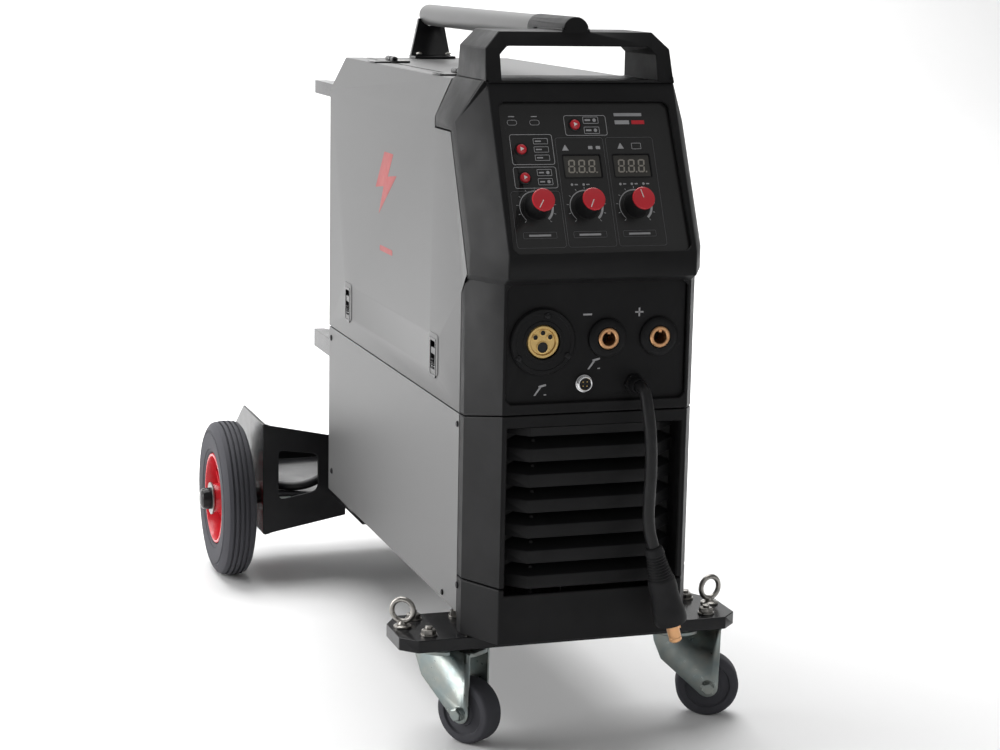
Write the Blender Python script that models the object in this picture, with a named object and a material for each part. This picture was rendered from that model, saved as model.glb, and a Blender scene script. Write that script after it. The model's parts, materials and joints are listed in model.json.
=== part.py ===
"""MIG welder on a cart, as separate solids in one frame.

Lengths are millimetres until a mesh is made, and metres in Blender.
X runs to the machine's left and right, the fascia faces -Y, Z is up from the floor.
Y is measured from the front seam of the sheet-metal cabinet; the root empty then
moves the whole machine so that the middle of its footprint is at the origin.
"""

import math

import bmesh
import bpy
from mathutils import Vector

MM = 0.001
CLEAR = 0.3          # gap between pieces that touch
PANEL_GAP = 1.2      # visible gap between covers

# Cabinet
HALF_W = 120.0       # half the cabinet's width
TOP_HALF = HALF_W - 19.0  # half the flat top's width
BASE_Z = 134.0       # underside of the cabinet
SEAM_Z = 338.0       # door above, fixed panel below
KINK_Z = 622.0       # where the sides lean in
TOP_Z = 660.0        # flat top
REAR_Y = 531.0       # back edge of the covers
SHEET = 1.5          # cover thickness
HINGE_X = 23.0 - TOP_HALF  # door hinge line on the top
HINGE_Z = TOP_Z + 4.0
HINGE_YS = {"front_hinge": 150.0, "rear_hinge": REAR_Y - 121.0}
HINGE_HALF = 15.0
KNUCKLE_R = 3.5
PIN_R = 1.6
LEAF = 18.0
LATCH_YS = {"front_latch": 83.0, "rear_latch": REAR_Y - 94.0}
LATCH_Z = SEAM_Z + 28.0  # lower edge of the slide
LATCH_H = 22.0
LATCH_HALF = 10.0
LATCH_TRAVEL = 9.0

# Mouldings
FRONT_Y = -72.0      # lower front face
CHIN_Y = -84.0       # the furthest point forward
CHIN_LOW_Z = 480.0
CHIN_Z = 503.0
SHOULDER_Y = -6.0
SHOULDER_Z = TOP_Z + 3.5
CHEEK_X = HALF_W - 24.0  # half the flat front's width
CHEEK_DEPTH = 48.0   # how far back the angled cheeks run
WALL = 4.0
SEAM_Y = -10.0       # front seam between moulding and covers
SEAM_RISE = 8.0      # the mouldings' seam climbs this much towards the front
PLINTH_Z = 173.0     # seam between grille moulding and base moulding
SILL_Z = 166.0       # lower edge of the grille's opening
BASE_LIP_Z = 116.0

# Carrying loop and top handle
LOOP_TOP_Z = 710.0
LOOP_CORNER_Z = 694.0
LOOP_HALF = HALF_W - 22.0
LOOP_TOP_HALF = LOOP_HALF - 18.0
LOOP_SIDE = 17.0
LOOP_BAR = 14.0
LOOP_BACK_Y = 88.0
TUBE_R = 12.5
TUBE_Z = 711.0
TUBE_WALL = 2.0
BOSS_R = TUBE_R + 1.0
BOSS_REAR_Y = 121.0
TUBE_REAR_Y = REAR_Y - 1.0
POST_Y = REAR_Y - 13.0
POST_T = 6.0
POST_BASE = 25.0
POST_TOP = 15.0

# Control panel, measured up the sloping face from the chin
RECESS = 5.0
PANEL_T = 2.5
PANEL_BOTTOM = 2.0
PANEL_TOP = 157.0
PANEL_LOW_HALF = CHEEK_X - 5.0
PANEL_HIGH_HALF = CHEEK_X - 8.0
PANEL_LAP = 2.0
KNOB_XS = {"left_knob": -61.0, "middle_knob": -10.0, "right_knob": 41.0}
KNOB_V = 50.0
KNOB_R = 11.5
KNOB_H = 22.0
SHAFT_R = 3.0
BUTTONS = {"mode_button": (-11.0, 134.0), "gas_button": (-69.0, 109.0), "trigger_button": (-69.0, 80.0)}
BUTTON_R = 5.0
BUTTON_PROUD = 2.5
DISPLAYS = {"left_display": (-8.5, 91.5), "right_display": (43.0, 91.5)}
DISPLAY_W = 38.0
DISPLAY_H = 23.0

# Sockets on the recessed plate below the chin
SOCKET_Y = FRONT_Y + RECESS
POCKET_LOW_Z = 357.0
POCKET_HIGH_Z = 474.0
POCKET_HALF = CHEEK_X - 3.0
TORCH_AT = (-55.5, 417.0)
NEGATIVE_AT = (11.0, 418.5)
POSITIVE_AT = (64.5, 418.5)
CONTROL_AT = (-12.0, 374.5)
LEAD_AT = (40.5, 372.0)
TORCH_FLANGE_R = 33.0
TORCH_BRASS_R = 16.6
DINSE_RING_R = 14.0
DINSE_R = 10.5
DINSE_BORE = 6.6
DINSE_DEPTH = 24.0
CONTROL_R = 8.6
GLAND_R = 9.5
GLAND_TIP_Y = SOCKET_Y - 16.0

# Grille
LOUVRES = 7
LOUVRE_PITCH = 25.5
LOUVRE_TOP_Z = 324.5  # lower edge of the highest lip
LOUVRE_LIP = 13.0
GRILLE_HALF = CHEEK_X - 5.0
LOUVRE_KINK_X = GRILLE_HALF - 24.0
GRILLE_DEPTH = 22.0

# Front cross plate, casters and eye bolts
PLATE_TOP_Z = 114.0
PLATE_T = 4.0
PLATE_FLANGE = 13.0
PLATE_HALF = HALF_W + 61.0
PLATE_FRONT_Y = -32.0
PLATE_BACK_Y = 58.0
PLATE_CORNER = 16.0
CHANNEL_HALF = HALF_W - 28.0
CASTER_X = PLATE_HALF - 54.0
CASTER_Y = 13.0
CASTER_BOLTS = (23.0, 28.0)
CASTER_R = 33.0
CASTER_WIDTH = 25.0
CASTER_TRAIL = 36.0
CASTER_LEG_R = 11.0    # round end of the fork's leg
FORK_BACK = -24.0
FORK_FRONT = 48.0
CASTER_HEADINGS = {"left": math.radians(-56.0), "right": math.radians(-20.0)}
FORK_GAP = 1.8
FORK_T = 2.5
EYE_X = PLATE_HALF - 13.0
EYE_Y = 18.0
EYE_R = 11.5
EYE_WIRE_R = 2.7
EYE_TURNS = {"left": math.radians(-66.0), "right": math.radians(35.0)}
BOLT_R = 4.0

# Bottle tray and rear wheels
WHEEL_R = 98.0
WHEEL_W = 42.0
RIM_R = WHEEL_R - 38.0
AXLE_R = 10.0
TRAY_T = 3.0
TRAY_Z = WHEEL_R + AXLE_R + 4.0
TRAY_FRONT_Y = REAR_Y + 64.0
TRAY_REAR_Y = TRAY_FRONT_Y + 202.0
TRAY_HALF = HALF_W + 68.0
TRAY_INNER = TRAY_HALF - 106.0
TRAY_TONGUE_Y = REAR_Y - 91.0
TRAY_LIP = 12.0
SIDE_TOP_Z = WHEEL_R + 106.0
SIDE_TALL = 141.0
SIDE_PEAK_Y = TRAY_FRONT_Y + 123.0
WHEEL_X = TRAY_HALF + 12.0  # inner face of the tyre
WHEEL_Y = TRAY_FRONT_Y + 62.0
AXLE_END = WHEEL_X + WHEEL_W + 14.0
CAP_R = 14.0

# Bottle brackets on the back
BRACKET_HALF = HALF_W - 12.0
BRACKET_REAR_Y = REAR_Y + 129.0
BOTTLE_R = 102.0
BOTTLE_Y = REAR_Y + 166.0
BRACKETS = {"upper_bottle_bracket": (610.0, 16.0), "lower_bottle_bracket": (290.0, 22.0)}

# Inside
DIVIDER_T = 1.5
SPOOL_Y = 330.0
SPOOL_Z = 480.0
SPOOL_R = 100.0
SPOOL_WIDTH = 54.0
SPOOL_BORE = 25.5
SPOOL_NEAR_X = -10.0
FEED_Y = 125.0
ROLL_R = 15.5
ROLL_W = 14.0
FEED_PLATE_X = -42.0
MOTOR_R = 28.0
ARM_PIVOT = (82.0, 442.0)
FAN_AT = (58.0, 235.0)
FAN_R = 46.0
SWITCH_AT = (55.0, 590.0)
SWITCH_R = 16.0

# Cords
LEAD_D = 12.0
LEAD_ROUTE = [
    (40.5, -84.0, 372.0), (40.5, -91.0, 372.0), (40.3, -99.5, 367.0), (40.3, -105.0, 358.0),
    (41.0, -108.8, 346.0), (42.2, -110.8, 331.0), (43.4, -111.4, 312.0), (43.8, -111.2, 292.0),
    (43.4, -110.6, 270.0), (43.2, -110.2, 250.0), (45.0, -109.8, 233.0), (49.6, -109.4, 217.0),
]
PLUG_L = 82.0
PLUG_PIN_L = 21.0
PLUG_PIN_R = 6.5
MAINS_D = 11.0
MAINS_AT = (-45.0, 165.0)
MAINS_GLAND_L = 25.0
MAINS_ROUTE = [
    (-45.0, 556.4, 165.0), (-45.0, 567.0, 165.0), (-48.5, 588.0, 161.0), (-60.0, 607.0, 153.0),
    (-79.0, 619.0, 141.5), (-101.0, 620.0, 130.0), (-122.0, 615.0, 121.5), (-141.0, 615.0, 117.9),
    (-157.0, 622.5, 117.8), (-167.0, 638.0, 117.8), (-170.5, 658.0, 117.8), (-170.0, 690.0, 117.8),
    (-167.0, 725.0, 119.0), (-164.0, 755.0, 125.0), (-162.0, 777.0, 131.0), (-160.5, 797.0, 132.2),
    (-158.5, 814.0, 121.0), (-156.5, 827.0, 100.0), (-154.0, 837.0, 70.0), (-151.0, 848.0, 38.0),
    (-144.0, 865.0, 14.0), (-131.0, 888.0, 5.9), (-109.0, 915.0, 5.8), (-78.0, 938.0, 5.8),
    (-40.0, 955.0, 5.8), (0.0, 965.0, 5.8), (40.0, 969.5, 5.8), (80.0, 970.4, 5.8),
    (119.0, 970.4, 5.8),
]
COIL_AT = (120.0, 893.0)
COIL_MEAN_R = 60.5
COIL_ACROSS = 2
COIL_LAYERS = 3
MAINS_PLUG_AT = (COIL_AT[0] + COIL_MEAN_R, COIL_AT[1], 42.8)
PLUG_HEADING = Vector((0.0, -0.970, 0.242))

FINISHES = {
    "powder_coat": ((0.10, 0.10, 0.10), 0.55, 0.0),
    "black_plastic": ((0.025, 0.025, 0.027), 0.5, 0.0),
    "gloss_black": ((0.012, 0.012, 0.012), 0.25, 0.0),
    "panel_film": ((0.015, 0.015, 0.016), 0.35, 0.0),
    "red_plastic": ((0.55, 0.02, 0.03), 0.4, 0.0),
    "display_window": ((0.10, 0.11, 0.12), 0.2, 0.0),
    "brass": ((0.72, 0.50, 0.20), 0.3, 1.0),
    "copper": ((0.72, 0.40, 0.20), 0.35, 1.0),
    "chrome": ((0.75, 0.75, 0.76), 0.15, 1.0),
    "zinc": ((0.60, 0.64, 0.68), 0.35, 1.0),
    "steel": ((0.62, 0.60, 0.57), 0.4, 1.0),
    "black_rubber": ((0.03, 0.03, 0.032), 0.8, 0.0),
    "wheel_rubber": ((0.045, 0.045, 0.05), 0.6, 0.0),
    "cable_jacket": ((0.02, 0.02, 0.02), 0.55, 0.0),
    "aluminium": ((0.65, 0.66, 0.67), 0.35, 1.0),
    "spool_plastic": ((0.04, 0.04, 0.045), 0.5, 0.0),
}


# Meshes

def material(name):
    """Return the named finish as a Principled material."""
    if name in bpy.data.materials:
        return bpy.data.materials[name]
    colour, roughness, metallic = FINISHES[name]
    finish = bpy.data.materials.new(name)
    finish.use_nodes = True
    shader = finish.node_tree.nodes["Principled BSDF"]
    shader.inputs["Base Color"].default_value = (*colour, 1.0)
    shader.inputs["Roughness"].default_value = roughness
    shader.inputs["Metallic"].default_value = metallic
    return finish


def empty(name, place, parent=None, turn=(0.0, 0.0, 0.0)):
    """Add an empty that carries a group of pieces."""
    holder = bpy.data.objects.new(name, None)
    bpy.context.scene.collection.objects.link(holder)
    holder.parent = parent
    holder.location = Vector(place) * MM
    holder.rotation_euler = turn
    return holder


def solid(name, mesh, finish, parent, place=(0.0, 0.0, 0.0), turn=(0.0, 0.0, 0.0)):
    """Turn a bmesh in millimetres into an object under its parent."""
    bmesh.ops.scale(mesh, vec=(MM, MM, MM), verts=mesh.verts)
    bmesh.ops.recalc_face_normals(mesh, faces=mesh.faces)
    data = bpy.data.meshes.new(name)
    mesh.to_mesh(data)
    mesh.free()
    data.shade_smooth()
    data.set_sharp_from_angle(angle=math.radians(35.0))
    piece = bpy.data.objects.new(name, data)
    bpy.context.scene.collection.objects.link(piece)
    piece.parent = parent
    piece.location = Vector(place) * MM
    piece.rotation_euler = turn
    if finish:
        data.materials.append(material(finish))
    return piece


def tool(mesh, parent, place=(0.0, 0.0, 0.0), turn=(0.0, 0.0, 0.0)):
    """Make a hidden piece that a Boolean uses."""
    piece = solid("tool", mesh, None, parent, place, turn)
    piece.hide_render = True
    piece.display_type = "WIRE"
    return piece


def combine(piece, operation, *tools):
    """Add one exact Boolean for each tool."""
    for other in tools:
        boolean = piece.modifiers.new(operation.lower(), "BOOLEAN")
        boolean.operation = operation
        boolean.solver = "EXACT"
        boolean.object = other


def cut(piece, *tools):
    combine(piece, "DIFFERENCE", *tools)


def join(piece, *tools):
    combine(piece, "UNION", *tools)


def along(axis, u, v, w):
    """Place outline coordinates u, v and the distance w along an axis."""
    return {"X": (w, u, v), "Y": (u, w, v), "Z": (u, v, w)}[axis]


def skin(rings, closed=False, capped=True):
    """Join rings of points by quads, with caps on the first and last."""
    mesh = bmesh.new()
    loops = [[mesh.verts.new(point) for point in ring] for ring in rings]
    count = len(loops[0])
    pairs = list(zip(loops, loops[1:]))
    if closed:
        pairs.append((loops[-1], loops[0]))
    for one, two in pairs:
        for i in range(count):
            j = (i + 1) % count
            mesh.faces.new((one[i], one[j], two[j], two[i]))
    if capped and not closed:
        mesh.faces.new(loops[0])
        mesh.faces.new(loops[-1])
    return mesh


def prism(outline, axis, low, high):
    """Extrude an outline along an axis."""
    return skin([[along(axis, u, v, w) for u, v in outline] for w in (low, high)])


def block(x, y, z):
    """A box from three (low, high) pairs."""
    corners = [(x[0], y[0]), (x[1], y[0]), (x[1], y[1]), (x[0], y[1])]
    return prism(corners, "Z", *z)


def arc(centre, radius, start, end, steps):
    """Points of an arc, angles in degrees."""
    turns = [math.radians(start + (end - start) * i / steps) for i in range(steps + 1)]
    return [(centre[0] + radius * math.cos(t), centre[1] + radius * math.sin(t)) for t in turns]


def rounded(half_u, half_v, radius, centre=(0.0, 0.0), steps=2):
    """A rectangle with round corners."""
    points = []
    for su, sv, start in ((1, -1, -90), (1, 1, 0), (-1, 1, 90), (-1, -1, 180)):
        corner = (centre[0] + su * (half_u - radius), centre[1] + sv * (half_v - radius))
        points += arc(corner, radius, start, start + 90, steps)
    return points


def turned(profile, axis, steps=24, centre=(0.0, 0.0)):
    """Turn a profile of (radius, distance) points about an axis through centre."""
    mesh = bmesh.new()
    rings = []
    for radius, distance in profile:
        if radius == 0.0:
            rings.append([mesh.verts.new(along(axis, *centre, distance))] * steps)
            continue
        circle = arc(centre, radius, 0.0, 360.0 - 360.0 / steps, steps - 1)
        rings.append([mesh.verts.new(along(axis, u, v, distance)) for u, v in circle])
    pairs = list(zip(rings, rings[1:]))
    if profile[0][0] > 0.0:
        pairs.append((rings[-1], rings[0]))
    for one, two in pairs:
        for i in range(steps):
            j = (i + 1) % steps
            corners = list(dict.fromkeys((one[i], one[j], two[j], two[i])))
            mesh.faces.new(corners)
    return mesh


def rod(radius, axis, low, high, centre=(0.0, 0.0), steps=16):
    return turned([(0.0, low), (radius, low), (radius, high), (0.0, high)], axis, steps, centre)


def beside(path, distance):
    """A path's parallel on its left, with mitred corners."""
    points = [Vector(point) for point in path]
    moved = []
    for i, point in enumerate(points):
        before = (point - points[i - 1]).normalized() if i else None
        after = (points[i + 1] - point).normalized() if i + 1 < len(points) else None
        before, after = before or after, after or before
        left = Vector((-before.y, before.x)) + Vector((-after.y, after.x))
        left.normalize()
        moved.append(tuple(point + left * distance / left.dot(Vector((-after.y, after.x)))))
    return moved


def folded(path, thickness):
    """The outline of a bent sheet, its thickness on the left of the path."""
    return list(path) + beside(path, thickness)[::-1]


def smooth_route(points, spacing):
    """Even points on a smooth curve through a route's own points."""
    route = [Vector(point) for point in points]
    ends = [2 * route[0] - route[1]] + route + [2 * route[-1] - route[-2]]
    dense = []
    for a, b, c, d in zip(ends, ends[1:], ends[2:], ends[3:]):
        for i in range(16):
            t = i / 16.0
            dense.append(0.5 * (2 * b + (c - a) * t + (2 * a - 5 * b + 4 * c - d) * t * t
                                + (3 * b - a - 3 * c + d) * t ** 3))
    dense.append(route[-1])
    lengths = [0.0]
    for a, b in zip(dense, dense[1:]):
        lengths.append(lengths[-1] + (b - a).length)
    count = max(2, round(lengths[-1] / spacing))
    even = []
    index = 0
    for step in range(count + 1):
        target = lengths[-1] * step / count
        while index < len(lengths) - 2 and lengths[index + 1] < target:
            index += 1
        share = (target - lengths[index]) / (lengths[index + 1] - lengths[index])
        even.append(dense[index].lerp(dense[index + 1], share))
    return even


def cord(name, route, diameter, parent):
    """A plain round tube along a smooth route, its two ends straight."""
    curve = bpy.data.curves.new(name, "CURVE")
    curve.dimensions = "3D"
    curve.bevel_depth = diameter / 2.0 * MM
    curve.bevel_resolution = 2
    curve.use_fill_caps = True
    points = [Vector(route[0])] + smooth_route(route[1:-1], 2.2 * diameter) + [Vector(route[-1])]
    spline = curve.splines.new("POLY")
    spline.points.add(len(points) - 1)
    for knot, point in zip(spline.points, points):
        knot.co = (*(point * MM), 1.0)
    piece = bpy.data.objects.new(name, curve)
    bpy.context.scene.collection.objects.link(piece)
    piece.parent = parent
    curve.materials.append(material("cable_jacket"))
    return piece


# The moulded front's shape

def front_y(z):
    """How far forward the front face is at a height."""
    profile = [
        (BASE_LIP_Z, FRONT_Y), (POCKET_HIGH_Z, FRONT_Y), (CHIN_LOW_Z, CHIN_Y), (CHIN_Z, CHIN_Y),
        (SHOULDER_Z, SHOULDER_Y),
    ]
    for (z0, y0), (z1, y1) in zip(profile, profile[1:]):
        if z <= z1:
            return y0 + (y1 - y0) * (max(z, z0) - z0) / (z1 - z0)
    return SHOULDER_Y


def half_width(z):
    """Half the cabinet's width at a height."""
    lean = (HALF_W - TOP_HALF) / (TOP_Z - KINK_Z)
    return HALF_W - max(0.0, z - KINK_Z) * lean


def plan(z, inset, back):
    """The moulding's outline at a height: flat front, angled cheeks, straight sides."""
    slope = CHEEK_DEPTH / (HALF_W - CHEEK_X)
    length = math.hypot(1.0, slope)
    outer = half_width(z) - inset
    front = front_y(z)
    cheek_y = front + slope * (outer - CHEEK_X) + inset * length
    corner_x = CHEEK_X - inset * (length - 1.0) / slope
    right = [(corner_x, front + inset), (outer, cheek_y), (outer, back)]
    left = [(-x, y) for x, y in reversed(right)]
    return [(x, y, z) for x, y in left + right]


def moulded(heights, back, inset=0.0):
    return skin([plan(z, inset, back) for z in heights])


def seam_line():
    """The (y, z) line where the covers meet the upper moulding."""
    return [
        (SEAM_Y, BASE_LIP_Z - 20.0), (SEAM_Y, CHIN_LOW_Z - 22.0), (SEAM_Y - 18.0, CHIN_LOW_Z - 1.0),
        (SEAM_Y + 45.0, KINK_Z - 10.0), (LOOP_BACK_Y + 1.0, KINK_Z - 10.0), (LOOP_BACK_Y + 1.0, KINK_Z),
        (LOOP_BACK_Y + 6.0, TOP_Z),
    ]


def behind_seam():
    """Cutter outline for everything behind the seam line."""
    top = [(LOOP_BACK_Y, SHOULDER_Z), (LOOP_BACK_Y, LOOP_TOP_Z + 60.0)]
    far = [(REAR_Y, LOOP_TOP_Z + 60.0), (REAR_Y, BASE_LIP_Z - 20.0)]
    return seam_line() + top + far


def before_seam():
    """Cutter outline for everything in front of the covers' front edge."""
    line = beside(seam_line(), -PANEL_GAP)
    far = [(line[-1][0], TOP_Z + 40.0), (CHIN_Y - 60.0, TOP_Z + 40.0), (CHIN_Y - 60.0, line[0][1])]
    return line + far


# Pieces

def base_pan(machine):
    wide = HALF_W - SHEET - CLEAR
    low = BASE_Z
    path = [(-wide, low + 14.0), (-wide, low), (wide, low), (wide, low + 14.0)]
    pan = solid("base_pan", prism(folded(path, SHEET), "Y", SEAM_Y + 4.0, REAR_Y - 3.0),
                "powder_coat", machine)
    for front, back, bottom in ((-8.0, 50.0, PLATE_TOP_Z), (REAR_Y - 76.0, REAR_Y - 11.0, TRAY_Z)):
        floor = bottom + CLEAR
        path = [(front, low + 0.7), (front, floor), (back, floor), (back, low + 0.7)]
        join(pan, tool(prism(folded(path, 2.0), "X", -CHANNEL_HALF, CHANNEL_HALF), machine))


def covers(machine):
    path = [(HALF_W, BASE_Z), (HALF_W, KINK_Z), (TOP_HALF, TOP_Z), (HINGE_X + 2.0, TOP_Z)]
    cover = solid("cover", prism(folded(path, SHEET), "Y", CHIN_Y, REAR_Y), "powder_coat", machine)
    cut(cover, tool(prism(before_seam(), "X", -HALF_W - 20.0, HALF_W + 20.0), machine))

    top = SEAM_Z - PANEL_GAP
    path = [(-HALF_W + 12.0, top), (-HALF_W, top), (-HALF_W, BASE_Z)]
    panel = solid("lower_left_panel", prism(folded(path, SHEET), "Y", SEAM_Y + PANEL_GAP, REAR_Y),
                  "powder_coat", machine)
    flange_end = block((-HALF_W + SHEET + 0.2, -HALF_W + 20.0), (REAR_Y - 4.0, REAR_Y + 2.0),
                       (top - 4.0, top + 2.0))
    cut(panel, tool(flange_end, machine))
    for y in LATCH_YS.values():
        slot = block((-HALF_W + 2.2, -HALF_W + 5.8), (y - 8.0, y + 8.0), (top - 4.0, top + 2.0))
        cut(panel, tool(slot, machine))


def side_door(machine):
    path = [(HINGE_X - 2.0, TOP_Z), (-TOP_HALF, TOP_Z), (-HALF_W, KINK_Z), (-HALF_W, SEAM_Z)]
    door = solid("side_door", prism(folded(path, SHEET), "Y", CHIN_Y, REAR_Y), "powder_coat", machine)
    cut(door, tool(prism(before_seam(), "X", -HALF_W - 20.0, HALF_W + 20.0), machine))
    for y in HINGE_YS.values():
        third = HINGE_HALF / 3.0
        leaf = block((HINGE_X - LEAF, HINGE_X - 1.0), (y - HINGE_HALF, y + HINGE_HALF),
                     (TOP_Z - 0.5, TOP_Z + 2.0))
        join(door, tool(leaf, machine))
        for low, high in ((y - HINGE_HALF, y - third), (y + third, y + HINGE_HALF)):
            join(door, tool(rod(KNUCKLE_R, "Y", low, high, (HINGE_X, HINGE_Z), 16), machine))
        middle = block((HINGE_X - 4.2, HINGE_X + 6.0), (y - third - CLEAR, y + third + CLEAR),
                       (TOP_Z - 3.0, TOP_Z + 9.0))
        bore = rod(PIN_R + 0.4, "Y", y - HINGE_HALF - 2.0, y + HINGE_HALF + 2.0, (HINGE_X, HINGE_Z), 12)
        cut(door, tool(middle, machine), tool(bore, machine))
    for y in LATCH_YS.values():
        middle = LATCH_Z + (LATCH_H + LATCH_TRAVEL) / 2.0
        half = (LATCH_H + LATCH_TRAVEL) / 2.0
        bezel = prism(rounded(LATCH_HALF + 7.0, half + 6.0, 4.0, (y, middle)), "X", -HALF_W - 1.0, -HALF_W + 0.8)
        hole = block((-HALF_W - 5.0, -HALF_W + 5.0), (y - LATCH_HALF - 0.5, y + LATCH_HALF + 0.5),
                     (middle - half - 0.5, middle + half + 0.5))
        join(door, tool(bezel, machine))
        cut(door, tool(hole, machine))


def hinges(machine):
    """The fixed half of each hinge with its pin."""
    for name, y in HINGE_YS.items():
        third = HINGE_HALF / 3.0
        leaf = block((HINGE_X + 2.4, HINGE_X + LEAF), (y - HINGE_HALF, y + HINGE_HALF),
                     (TOP_Z + CLEAR, TOP_Z + 2.4))
        hinge = solid(name, leaf, "gloss_black", machine)
        cut(hinge, tool(block((HINGE_X - 5.0, HINGE_X + KNUCKLE_R + 0.6),
                              (y - HINGE_HALF - 1.0, y - third + 0.2), (TOP_Z - 3.0, TOP_Z + 9.0)), machine),
            tool(block((HINGE_X - 5.0, HINGE_X + KNUCKLE_R + 0.6),
                       (y + third - 0.2, y + HINGE_HALF + 1.0), (TOP_Z - 3.0, TOP_Z + 9.0)), machine))
        join(hinge, tool(rod(KNUCKLE_R, "Y", y - third + CLEAR, y + third - CLEAR, (HINGE_X, HINGE_Z), 16), machine),
             tool(rod(PIN_R, "Y", y - HINGE_HALF - 0.5, y + HINGE_HALF + 0.5, (HINGE_X, HINGE_Z), 12), machine))


def latches(machine):
    for name, y in LATCH_YS.items():
        body = block((-HALF_W - 0.8, -HALF_W + 5.0), (y - LATCH_HALF, y + LATCH_HALF),
                     (LATCH_Z, LATCH_Z + LATCH_H))
        latch = solid(name, body, "gloss_black", machine)
        tongue = block((-HALF_W + 3.0, -HALF_W + 5.0), (y - 6.0, y + 6.0), (SEAM_Z - 9.0, LATCH_Z + 6.0))
        finger = block((-HALF_W - 2.0, -HALF_W + 3.5), (y - 7.0, y + 7.0), (LATCH_Z + 5.0, LATCH_Z + 15.0))
        join(latch, tool(tongue, machine))
        cut(latch, tool(finger, machine))


def fan_slots():
    """Ring-shaped slots of the fan guard, as one cutter of separate sectors."""
    mesh = bmesh.new()
    for inner in (14.0, 25.0, 36.0):
        for quarter in range(4):
            start = quarter * 90.0 + 8.0
            outline = (arc(FAN_AT, inner + 8.0, start, start + 74.0, 4)
                       + arc(FAN_AT, inner, start + 74.0, start, 4))
            low, high = ([mesh.verts.new((x, y, z)) for x, z in outline] for y in (REAR_Y - 9.0, REAR_Y + 5.0))
            mesh.faces.new(low)
            mesh.faces.new(high)
            for i in range(len(low)):
                j = (i + 1) % len(low)
                mesh.faces.new((low[i], low[j], high[j], high[i]))
    return mesh


def rear_panel(machine):
    inset = SHEET + 2.0 * CLEAR
    outline = [(HALF_W - inset, BASE_Z + inset + 0.5), (HALF_W - inset, KINK_Z),
               (TOP_HALF - inset, TOP_Z - inset), (-TOP_HALF + inset, TOP_Z - inset),
               (-HALF_W + inset, KINK_Z), (-HALF_W + inset, BASE_Z + inset + 0.5)]
    panel = solid("rear_panel", prism(outline, "Y", REAR_Y - SHEET - CLEAR, REAR_Y - CLEAR),
                  "powder_coat", machine)
    around = {"fan": fan_slots(),
              "cord": rod(8.4, "Y", REAR_Y - 9.0, REAR_Y + 5.0, MAINS_AT),
              "switch": rod(5.4, "Y", REAR_Y - 9.0, REAR_Y + 5.0, SWITCH_AT)}
    for cutter in around.values():
        cut(panel, tool(cutter, machine))


def divider_wall(machine):
    """The wall between wire side and power side, with the spool's spindle."""
    outline = [(SEAM_Y + 25.0, BASE_Z + 3.0), (REAR_Y - 5.0, BASE_Z + 3.0), (REAR_Y - 5.0, TOP_Z - 3.0),
               (SEAM_Y + 120.0, TOP_Z - 3.0), (SEAM_Y + 25.0, KINK_Z - 40.0)]
    wall = solid("divider_wall", prism(outline, "X", -DIVIDER_T, 0.0), "powder_coat", machine)
    spindle = turned([(0.0, -DIVIDER_T / 2.0), (SPOOL_BORE + 8.0, -DIVIDER_T / 2.0),
                      (SPOOL_BORE + 8.0, SPOOL_NEAR_X + 1.0), (SPOOL_BORE - 0.5, SPOOL_NEAR_X + 1.0),
                      (SPOOL_BORE - 0.5, SPOOL_NEAR_X - SPOOL_WIDTH - 6.0),
                      (0.0, SPOOL_NEAR_X - SPOOL_WIDTH - 6.0)], "X", 32, (SPOOL_Y, SPOOL_Z))
    join(wall, tool(spindle, machine))
    motor_hole = rod(MOTOR_R + 2.0, "X", -20.0, 20.0, (FEED_Y, TORCH_AT[1]))
    cut(wall, tool(motor_hole, machine))


def seam_side(shift, far_z):
    """Cutter outline from the mouldings' seam to a height."""
    cheek_y = FRONT_Y + CHEEK_DEPTH
    line = [(REAR_Y, SEAM_Z + shift), (cheek_y, SEAM_Z + shift), (FRONT_Y, SEAM_Z + SEAM_RISE + shift),
            (CHIN_Y - 20.0, SEAM_Z + SEAM_RISE + shift)]
    return line + [(CHIN_Y - 20.0, far_z), (REAR_Y, far_z)]


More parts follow.
